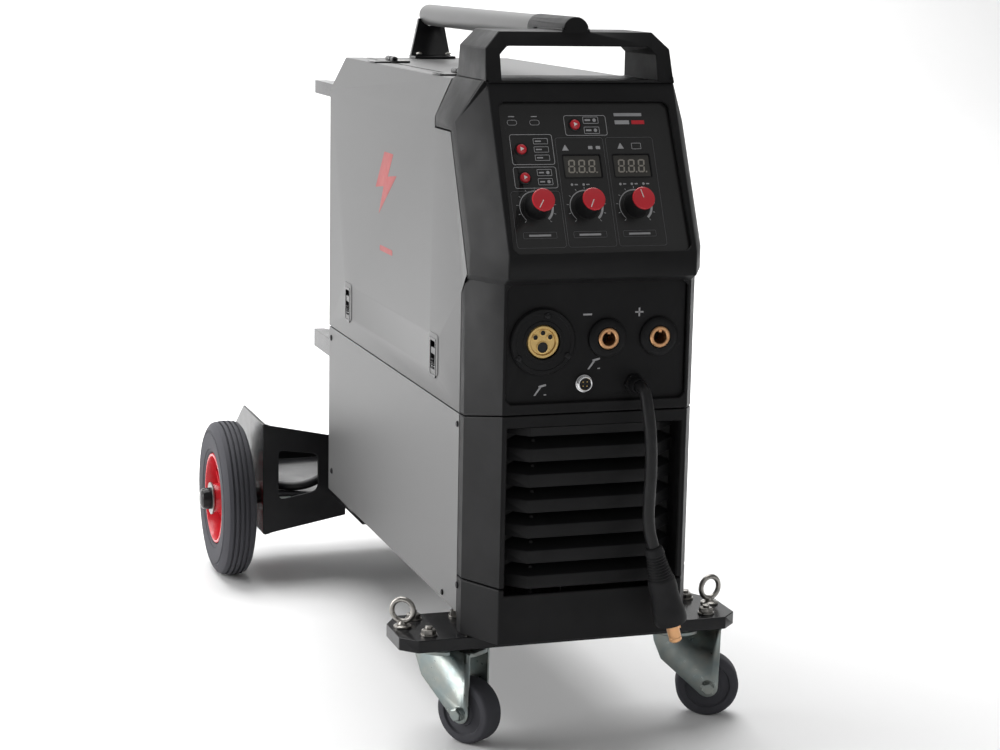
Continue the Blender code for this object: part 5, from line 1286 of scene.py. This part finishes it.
def rear_wheels():
    """Grooved solid tyres on red spoked rims, held by a washer and a black cap."""
    low, high = span("rear_axle")
    cy, cz = halfway(low, high, "yz")
    shaft = bmesh.new()
    end = high.x
    turned([(0.0, -end + 8.0), (9.6, -end + 8.0), (10.0, -end + 9.0), (10.0, end - 9.0), (9.6, end - 8.0),
            (0.0, end - 8.0)], "X", (cy, cz), 40, shaft)
    for sign in (-1.0, 1.0):
        inner, outer = sign * (end - 15.2), sign * (end - 13.0)
        turned([(10.1, inner), (20.4, inner), (20.4, outer), (10.1, outer)], "X", (cy, cz), 48, shaft,
               closed=True)
    piece("rear_axle_shaft", shaft, zinc_plate(), stands_for=("rear_axle",), round_by=0.3)
    caps = bmesh.new()
    for sign in (-1.0, 1.0):
        turned([(0.0, sign * end), (8.6, sign * (end - 0.2)), (12.4, sign * (end - 2.4)),
                (13.6, sign * (end - 6.0)),
                (13.8, sign * (end - 12.6)), (10.2, sign * (end - 12.8)), (0.0, sign * (end - 9.0))], "X",
               (cy, cz),
               40, caps)
    piece("rear_axle_caps", caps, gloss_paint())

    for side, sign in (("left", -1.0), ("right", 1.0)):
        body = f"{side}_rear_wheel"
        low, high = span(f"{side}_tyre")
        near, far = (low.x, high.x) if sign > 0 else (high.x, low.x)
        cy, cz, r = (low.y + high.y) / 2.0, (low.z + high.z) / 2.0, (high.z - low.z) / 2.0
        width = abs(far - near)

        def at(share):
            return near + sign * share * width

        profile = [(58.2, at(0.10)), (60.0, at(0.06)), (72.0, at(0.0)), (84.0, at(0.01)), (91.0, at(0.06)),
                   (95.4, at(0.14))]
        grooves = sizes().tread_grooves
        for i in range(grooves):
            middle_share = 0.5 + (i - (grooves - 1) / 2.0) * 0.145
            crown = r - 5.0 * abs(middle_share - 0.5) ** 1.6 * 2.0
            profile += [(crown, at(middle_share - 0.034)), (crown - 2.6, at(middle_share - 0.022)),
                        (crown - 2.6, at(middle_share + 0.022)), (crown, at(middle_share + 0.034))]
        profile += [(95.4, at(0.86)), (91.0, at(0.94)), (86.4, at(0.985)), (85.2, at(0.962)),
                    (83.4, at(0.962)),
                    (82.2, at(0.995)), (72.0, at(1.0)), (64.0, at(0.975)), (62.8, at(0.945)),
                    (60.0, at(0.94)),
                    (58.2, at(0.90))]
        piece(f"{side}_tyre_tread", turned(profile, "X", (cy, cz), 96, closed=True), wheel_rubber(), body,
              stands_for=(f"{side}_tyre",), sharp=24.0)

        rim_low, rim_high = span(f"{side}_rim")
        inner, outer = (rim_low.x, rim_high.x) if sign > 0 else (rim_high.x, rim_low.x)
        centre_x = (inner + outer) / 2.0
        rim = bmesh.new()
        turned([(57.6, at(0.12)), (57.6, at(0.88)), (56.4, at(0.93)), (53.6, at(0.93)), (52.6, at(0.86)),
                (51.4, centre_x + sign * 5.0), (51.4, centre_x - sign * 5.0), (52.6, at(0.14)),
                (53.6, at(0.08)),
                (56.4, at(0.08))], "X", (cy, cz), 72, rim, closed=True)
        turned([(14.5, inner), (18.0, inner), (19.0, centre_x - sign * 6.0), (19.0, centre_x + sign * 6.0),
                (18.2, outer - sign * 3.0), (17.0, outer - sign * 1.0), (14.5, outer - sign * 1.0)], "X",
               (cy, cz), 48,
               rim, closed=True)
        spokes = sizes().rim_spokes
        for i in range(spokes):
            turn = math.tau * i / spokes
            arm = bmesh.new()
            prism(([(-10.5, 17.0), (10.5, 17.0), (13.5, 52.8), (-13.5, 52.8)],
                   [(-7.5, 17.0), (7.5, 17.0), (10.0, 52.2), (-10.0, 52.2)]), "X", centre_x,
                  centre_x + sign * 5.0, arm)
            block((centre_x + sign * 4.0, centre_x + sign * 9.0), (-2.0, 2.0), (17.0, 52.0), arm)
            arm.transform(Matrix.Translation((0.0, cy, cz)) @ Matrix.Rotation(turn, 4, "X"))
            add_into(rim, arm)
        turned([(18.0, centre_x - sign * 2.0), (52.0, centre_x - sign * 2.0), (52.0, centre_x - sign * 0.2),
                (18.0, centre_x - sign * 0.2)], "X", (cy, cz), 72, rim, closed=True)
        piece(f"{side}_rim_spokes", rim, red_plastic(), body, stands_for=(f"{side}_rim",), round_by=0.5)


# Back of the cabinet

def rear_details():
    """Fan guard, gas inlet, fuse cover, rating plate without text, screws."""
    repaint("rear_panel", powder_coat())
    face = span("rear_panel")[1].y
    rotor = middle("fan_rotor")
    guard = bmesh.new()
    for radius in (12.0, 23.0, 34.0, 46.0):
        loop = [Vector((rotor.x + radius * math.cos(math.tau * i / 48), face + 2.4,
                        rotor.z + radius * math.sin(math.tau * i / 48))) for i in range(48)]
        tube(loop, 1.3, guard, 10, closed=True)
    for turn in (45.0, 135.0, 225.0, 315.0):
        c, s = math.cos(math.radians(turn)), math.sin(math.radians(turn))
        arm = [Vector((rotor.x + r * c, face + (1.5 if r < 54.0 else 1.2),
                       rotor.z + r * s)) for r in (10.0, 30.0, 54.0)]
        tube(arm, 1.5, guard, 10)
    piece("fan_guard", guard, chrome())
    screws = bmesh.new()
    for turn in (45.0, 135.0, 225.0, 315.0):
        c, s = math.cos(math.radians(turn)), math.sin(math.radians(turn))
        pan_screw(screws, (rotor.x + 56.0 * c, face + 0.1, rotor.z + 56.0 * s), (0.0, 1.0, 0.0), turn=turn)
    low, high = span("rear_panel")
    for x in (low.x + 9.0, high.x - 9.0):
        for z in (low.z + 14.0, 340.0, 590.0):
            pan_screw(screws, (x, face + 0.1, z), (0.0, 1.0, 0.0), turn=z)
    piece("rear_screws", screws, bare_steel())
    plate = prism(rounded(38.0, 24.0, 2.0, (-55.0, 540.0), 3), "Y", face + 0.05, face + 0.7)
    piece("blank_rating_plate", plate, bare_steel(), round_by=0.15)
    inlet = bmesh.new()
    x, z = -50.0, 232.0
    turned([(0.0, face + 0.1), (11.0, face + 0.1), (11.0, face + 1.6), (5.2, face + 1.8), (5.2, face + 6.0),
            (4.2, face + 6.4), (4.2, face + 9.0), (5.4, face + 10.0), (4.2, face + 13.0), (5.4, face + 14.0),
            (3.6, face + 19.0), (2.2, face + 19.0), (2.2, face + 16.0), (0.0, face + 16.0)], "Y", (x, z), 32,
           inlet)
    prism(ngon(8.5, 6, (x, z)), "Y", face + 1.6, face + 5.4, inlet)
    piece("gas_inlet", inlet, brass(), round_by=0.1)
    fuse = turned([(0.0, face + 0.1), (13.5, face + 0.1), (13.5, face + 2.0), (12.4, face + 3.0),
                   (9.6, face + 3.2),
                   (9.2, face + 9.0), (8.4, face + 10.0), (0.0, face + 10.0)], "Y", (2.0, 232.0), 32)
    piece("fuse_cap", fuse, moulded_plastic())


def mains_switch():
    joint = JOINTS["switch_turn"]
    at = Vector(joint["pos_m"]) / MM
    face = span("rear_panel")[1].y
    plate = prism(rounded(24.0, 24.0, 3.0, (at.x, at.z), 4), "Y", face + 0.05, face + 0.25)
    piece("switch_plate", plate, panel_film())
    low, high = span("mains_switch")
    r = (high.x - low.x) / 2.0
    knob = bmesh.new()
    turned([(0.0, low.y), (4.7, low.y), (4.7, face + 0.4), (r - 0.6, face + 0.4), (r, face + 1.2),
            (r, face + 4.4),
            (r - 1.6, face + 6.8), (0.0, face + 6.8)], "Y", (at.x, at.z), 48, knob)
    prism(([(at.x - 5.0, at.z - r + 2.0), (at.x + 5.0, at.z - r + 2.0), (at.x + 5.0, at.z + r - 2.0),
            (at.x - 5.0, at.z + r - 2.0)],
           [(at.x - 3.4, at.z - r + 3.4), (at.x + 3.4, at.z - r + 3.4), (at.x + 3.4, at.z + r - 3.4),
            (at.x - 3.4, at.z + r - 3.4)]), "Y", face + 6.0, high.y, knob)
    piece("switch_knob", knob, red_plastic(), "switch", stands_for=("mains_switch",), round_by=0.5)
    mark = bmesh.new()
    block((at.x - 0.7, at.x + 0.7), (high.y - 0.3, high.y + 0.02), (at.z + r - 9.0, at.z + r - 4.2), mark)
    piece("switch_mark", mark, print_ink(), "switch")
    ring = bmesh.new()
    for turn in (0.0, 90.0):
        c, s = math.cos(math.radians(90.0 - turn)), math.sin(math.radians(90.0 - turn))
        turned([(0.0, face + 0.2), (1.3, face + 0.2), (1.3, face + 0.3), (0.0, face + 0.3)], "Y",
               (at.x + 20.0 * c, at.z + 20.0 * s), 16, ring)
    piece("switch_print", ring, print_ink())


MAINS_D = 11.0
COIL_START = 77.4    # where the cable comes in to the coil
COIL_OUTER = 66.0
COIL_INNER = 55.0
PLUG_OUT = 5.5       # from the inner turn out to the plug's tail
PLUG_UP = 42.8       # height of the plug's tail
MAINS_ROUTE = [
    (-45.0, 556.4, 165.0), (-45.0, 567.0, 165.0), (-48.5, 588.0, 161.0), (-60.0, 607.0, 153.0),
    (-79.0, 619.0, 141.5), (-101.0, 620.0, 130.0), (-122.0, 615.0, 121.5), (-141.0, 615.0, 117.9),
    (-157.0, 622.5, 117.8), (-167.0, 638.0, 117.8), (-170.5, 658.0, 117.8), (-170.0, 690.0, 117.8),
    (-167.0, 725.0, 119.0), (-164.0, 755.0, 125.0), (-162.0, 777.0, 131.0), (-160.5, 797.0, 132.2),
    (-158.5, 814.0, 121.0), (-156.5, 827.0, 100.0), (-154.0, 837.0, 70.0), (-151.0, 848.0, 38.0),
    (-144.0, 865.0, 14.0), (-131.0, 888.0, 5.9), (-109.0, 915.0, 5.8), (-78.0, 938.0, 5.8),
    (-40.0, 955.0, 5.8), (0.0, 965.0, 5.8), (40.0, 969.5, 5.8), (80.0, 970.4, 5.8),
    (119.0, 970.4, 5.8),
]


def coil_run(low):
    """Points of the coil as (radius, angle, height), turn upon turn from the floor up."""
    turns = sizes().coil_turns
    steps = 40
    points = []
    stack = []
    for level in range(turns // 2):
        z = low + MAINS_D / 2.0 + level * MAINS_D
        stack += [(COIL_OUTER, z), (COIL_INNER, z)] if level % 2 == 0 else [(COIL_INNER, z), (COIL_OUTER, z)]
    angle = 90.0
    for index, (radius, z) in enumerate(stack):
        before = (COIL_START, z) if index == 0 else stack[index - 1]
        for i in range(steps):
            share = min(1.0, (i + 1) / (steps * 0.45))
            ease = share * share * (3.0 - 2.0 * share)
            r = before[0] + (radius - before[0]) * ease
            height = before[1] + (z - before[1]) * ease
            angle -= 360.0 / steps
            points.append((r, angle, height))
    return points


def mains_lead():
    """Gland, cable over the tray, flat coil on the floor and the plug lying on it."""
    low, high = span("mains_gland")
    cx, cz = halfway(low, high, "xz")
    face = span("rear_panel")[1].y
    gland = bmesh.new()
    turned([(5.7, low.y), (8.0, low.y), (8.0, face + 0.4), (10.6, face + 0.4), (10.8, face + 1.0),
            (10.8, face + 6.0),
            (9.4, face + 7.2), (9.2, face + 10.0), (8.2, face + 16.0), (7.0, face + 22.0),
            (6.4, high.y - 0.2),
            (5.7, high.y)], "Y", (cx, cz), 40, gland, closed=True)
    prism(ngon(10.9, 6, (cx, cz)), "Y", face + 1.2, face + 6.8, gland)
    piece("mains_gland_nut", gland, moulded_plastic(), stands_for=("mains_gland",), round_by=0.25)

    run = placed(MAINS_ROUTE)
    centre = middle("mains_coil")
    floor = span("mains_coil")[0].z
    tail_at = Vector((centre.x + COIL_INNER + PLUG_OUT, centre.y, PLUG_UP))
    heading = Vector((0.0, -0.970, 0.242)).normalized()
    for r, angle, z in coil_run(floor):
        a = math.radians(angle)
        run.append(Vector((centre.x + r * math.cos(a), centre.y + r * math.sin(a), z)))
    top = run[-1].z
    last = math.radians(90.0)
    rise = 40
    for i in range(1, rise + 1):
        share = i / rise
        ease = share * share * (3.0 - 2.0 * share)
        a = last - math.radians(90.0) * share
        r = COIL_INNER + PLUG_OUT * ease
        z = top + (tail_at.z - 1.2 - top) * ease
        run.append(Vector((centre.x + r * math.cos(a), centre.y + r * math.sin(a), z)))
    run[-1] = tail_at - heading * 0.2
    points = smooth_route(run, 3.4)
    lowest, rearmost = floor + MAINS_D / 2.0 + 0.1, span("mains_coil")[1].y - MAINS_D / 2.0 - 0.1
    for point in points:
        point.z = max(point.z, lowest)
        point.y = min(point.y, rearmost)
    cable = cord_piece("mains_cord", points, MAINS_D, ("mains_cable", "mains_coil"))
    place = facing(tail_at, heading)
    body = [(0.0, 0.3), (6.6, 0.3)]
    for i in range(4):
        z = 2.0 + i * 4.2
        r = 6.9 + 0.35 * i
        body += [(r, z), (r - 0.8, z + 1.2), (r - 0.8, z + 2.4), (r + 0.2, z + 3.4)]
    body += [(9.0, 20.0), (13.0, 25.0), (16.8, 30.0), (18.0, 40.0), (18.9, 49.0), (18.6, 51.8), (17.6, 52.9),
             (0.0, 52.9)]
    plug = piece("mains_plug_body", turned(body, "Z", steps=44), soft_rubber(), stands_for=("mains_plug",),
                 place=place.copy(), round_by=0.25)
    pins = bmesh.new()
    for x in (-9.5, 9.5):
        turned([(0.0, 52.0), (2.35, 52.0), (2.35, 69.4), (1.6, 70.9), (0.0, 70.9)], "Z", (x, 0.0), 24, pins)
    pins_piece = piece("mains_plug_pins", pins, chrome(), place=place.copy())


# Inside

def wire_side():
    """Divider, spool of wire, drive roll, pressure arm and feeder motor."""
    dressed("divider_wall", powder_coat(), 0.4)
    low, high = span("wire_spool")
    cy, cz = halfway(low, high, "yz")
    near, far, r = high.x, low.x, (high.y - low.y) / 2.0
    bore = 25.5
    reel = bmesh.new()
    turned([(bore, near - 0.2), (r - 1.0, near - 0.2), (r, near - 1.0), (r, near - 3.2),
            (r - 1.0, near - 4.0),
            (40.0, near - 4.2), (38.0, near - 8.0), (38.0, far + 8.0), (40.0, far + 4.2),
            (r - 1.0, far + 4.0),
            (r, far + 3.2), (r, far + 1.0), (r - 1.0, far + 0.2), (84.0, far + 0.2), (82.0, far + 1.6),
            (44.0, far + 1.6), (42.0, far + 0.2), (bore, far + 0.2)], "X", (cy, cz), 72, reel, closed=True)
    for i in range(6):
        rib = block((far + 0.5, far + 1.8), (-1.6, 1.6), (43.0, 83.0))
        rib.transform(Matrix.Translation((0.0, cy, cz)) @ Matrix.Rotation(math.tau * i / 6, 4, "X"))
        add_into(reel, rib)
    piece("spool_reel", reel, spool_plastic(), "spool", stands_for=("wire_spool",), round_by=0.3)
    wound = [(38.2, near - 4.6)]
    turns = 38
    inner, outer = near - 4.6, far + 4.6
    for i in range(turns):
        x = inner + (outer - inner) * (i + 0.5) / turns
        half = (outer - inner) / turns / 2.0
        wound += [(85.4, x - half * 0.9), (86.2, x), (85.4, x + half * 0.9)]
    wound += [(38.2, far + 4.6)]
    piece("spool_wire", turned(wound, "X", (cy, cz), 96, closed=True), wound_wire(), "spool",
          sharp=70.0)
    nut = turned([(0.0, far - 5.6), (16.0, far - 5.6), (18.0, far - 3.8), (24.0, far - 3.0),
                  (24.6, far - 1.4),
                  (0.0, far - 1.4)], "X", (cy, cz), 40)
    piece("spindle_nut", nut, moulded_plastic(), round_by=0.4)

    dressed("feeder_motor", cast_alloy(), 0.5)
    low, high = span("drive_roll")
    cy, cz = halfway(low, high, "yz")
    x0 = low.x
    roll = turned([(0.0, x0 + 0.2), (5.0, x0 + 0.2), (5.8, x0 + 1.0), (5.8, x0 + 5.8), (9.0, x0 + 6.2),
                   (14.6, x0 + 6.2),
                   (15.4, x0 + 7.0), (15.4, x0 + 12.4), (14.4, x0 + 13.2), (15.4, x0 + 14.0),
                   (15.4, x0 + 19.2),
                   (14.6, x0 + 20.0), (3.8, x0 + 20.0), (3.8, high.x - 0.1), (0.0, high.x - 0.1)], "X",
                  (cy, cz), 48)
    piece("drive_roll_turned", roll, bare_steel(), "feed_roll", stands_for=("drive_roll",), round_by=0.2)
    dressed("pressure_arm", cast_alloy(), 0.6)
    dressed("power_block", cast_alloy(), 0.5)
    dressed("fan_rotor", moulded_plastic(), 0.3)


# The add-on

class WELDER_OT_stage(Operator):
    """Set up the camera, lights and floor"""
    bl_idname = "welder.stage"
    bl_label = "Stage"

    def execute(self, context):
        stage()
        return {"FINISHED"}


class WELDER_OT_cabinet(Operator):
    """Dress the covers, door, hinges and latches"""
    bl_idname = "welder.cabinet"
    bl_label = "Cabinet"

    def execute(self, context):
        cabinet()
        door_mark()
        hinges_and_latches()
        return {"FINISHED"}


class WELDER_OT_front(Operator):
    """Dress the moulded front and the top handle"""
    bl_idname = "welder.front"
    bl_label = "Moulded front and handle"

    def execute(self, context):
        moulded_front()
        top_handle()
        return {"FINISHED"}


class WELDER_OT_controls(Operator):
    """Build the control panel with its knobs, buttons and displays"""
    bl_idname = "welder.controls"
    bl_label = "Control panel"

    def execute(self, context):
        control_panel()
        return {"FINISHED"}


class WELDER_OT_sockets(Operator):
    """Build the sockets and the short lead with its plug"""
    bl_idname = "welder.sockets"
    bl_label = "Sockets and lead"

    def execute(self, context):
        sockets()
        polarity_lead()
        return {"FINISHED"}


class WELDER_OT_cart(Operator):
    """Build the front plate with casters and eye bolts, and the bottle tray"""
    bl_idname = "welder.cart"
    bl_label = "Cart"

    def execute(self, context):
        front_plate()
        casters()
        eye_bolts()
        bottle_tray()
        rear_wheels()
        return {"FINISHED"}


class WELDER_OT_back(Operator):
    """Build the back panel's details and the mains lead"""
    bl_idname = "welder.back"
    bl_label = "Back and mains lead"

    def execute(self, context):
        rear_details()
        mains_switch()
        mains_lead()
        return {"FINISHED"}


class WELDER_OT_inside(Operator):
    """Dress the spool, the feeder and the power unit"""
    bl_idname = "welder.inside"
    bl_label = "Inside"

    def execute(self, context):
        wire_side()
        return {"FINISHED"}


GROUPS = (WELDER_OT_stage, WELDER_OT_cabinet, WELDER_OT_front, WELDER_OT_controls, WELDER_OT_sockets,
          WELDER_OT_cart, WELDER_OT_back, WELDER_OT_inside)


class WELDER_PT_panel(Panel):
    """Sizes, colours and one button per group of pieces"""
    bl_idname = "WELDER_PT_panel"
    bl_label = "Welder on cart"
    bl_space_type = "VIEW_3D"
    bl_region_type = "UI"
    bl_category = "Welder"

    def draw(self, context):
        layout = self.layout
        for settings in (context.scene.welder_sizes, context.scene.welder_colours):
            column = layout.column(align=True)
            for name in settings.bl_rna.properties.keys():
                if name not in ("rna_type", "name"):
                    column.prop(settings, name)
        column = layout.column(align=True)
        for group in GROUPS:
            column.operator(group.bl_idname)


CLASSES = (WelderSizes, WelderColours, *GROUPS, WELDER_PT_panel)


def register():
    for cls in CLASSES:
        bpy.utils.register_class(cls)
    bpy.types.Scene.welder_sizes = PointerProperty(type=WelderSizes)
    bpy.types.Scene.welder_colours = PointerProperty(type=WelderColours)


def unregister():
    del bpy.types.Scene.welder_colours
    del bpy.types.Scene.welder_sizes
    for cls in reversed(CLASSES):
        bpy.utils.unregister_class(cls)


def main():
    register()
    for group in GROUPS:
        family, name = group.bl_idname.split(".")
        getattr(getattr(bpy.ops, family), name)()
    bpy.context.view_layer.update()


if __name__ == "__main__":
    main()
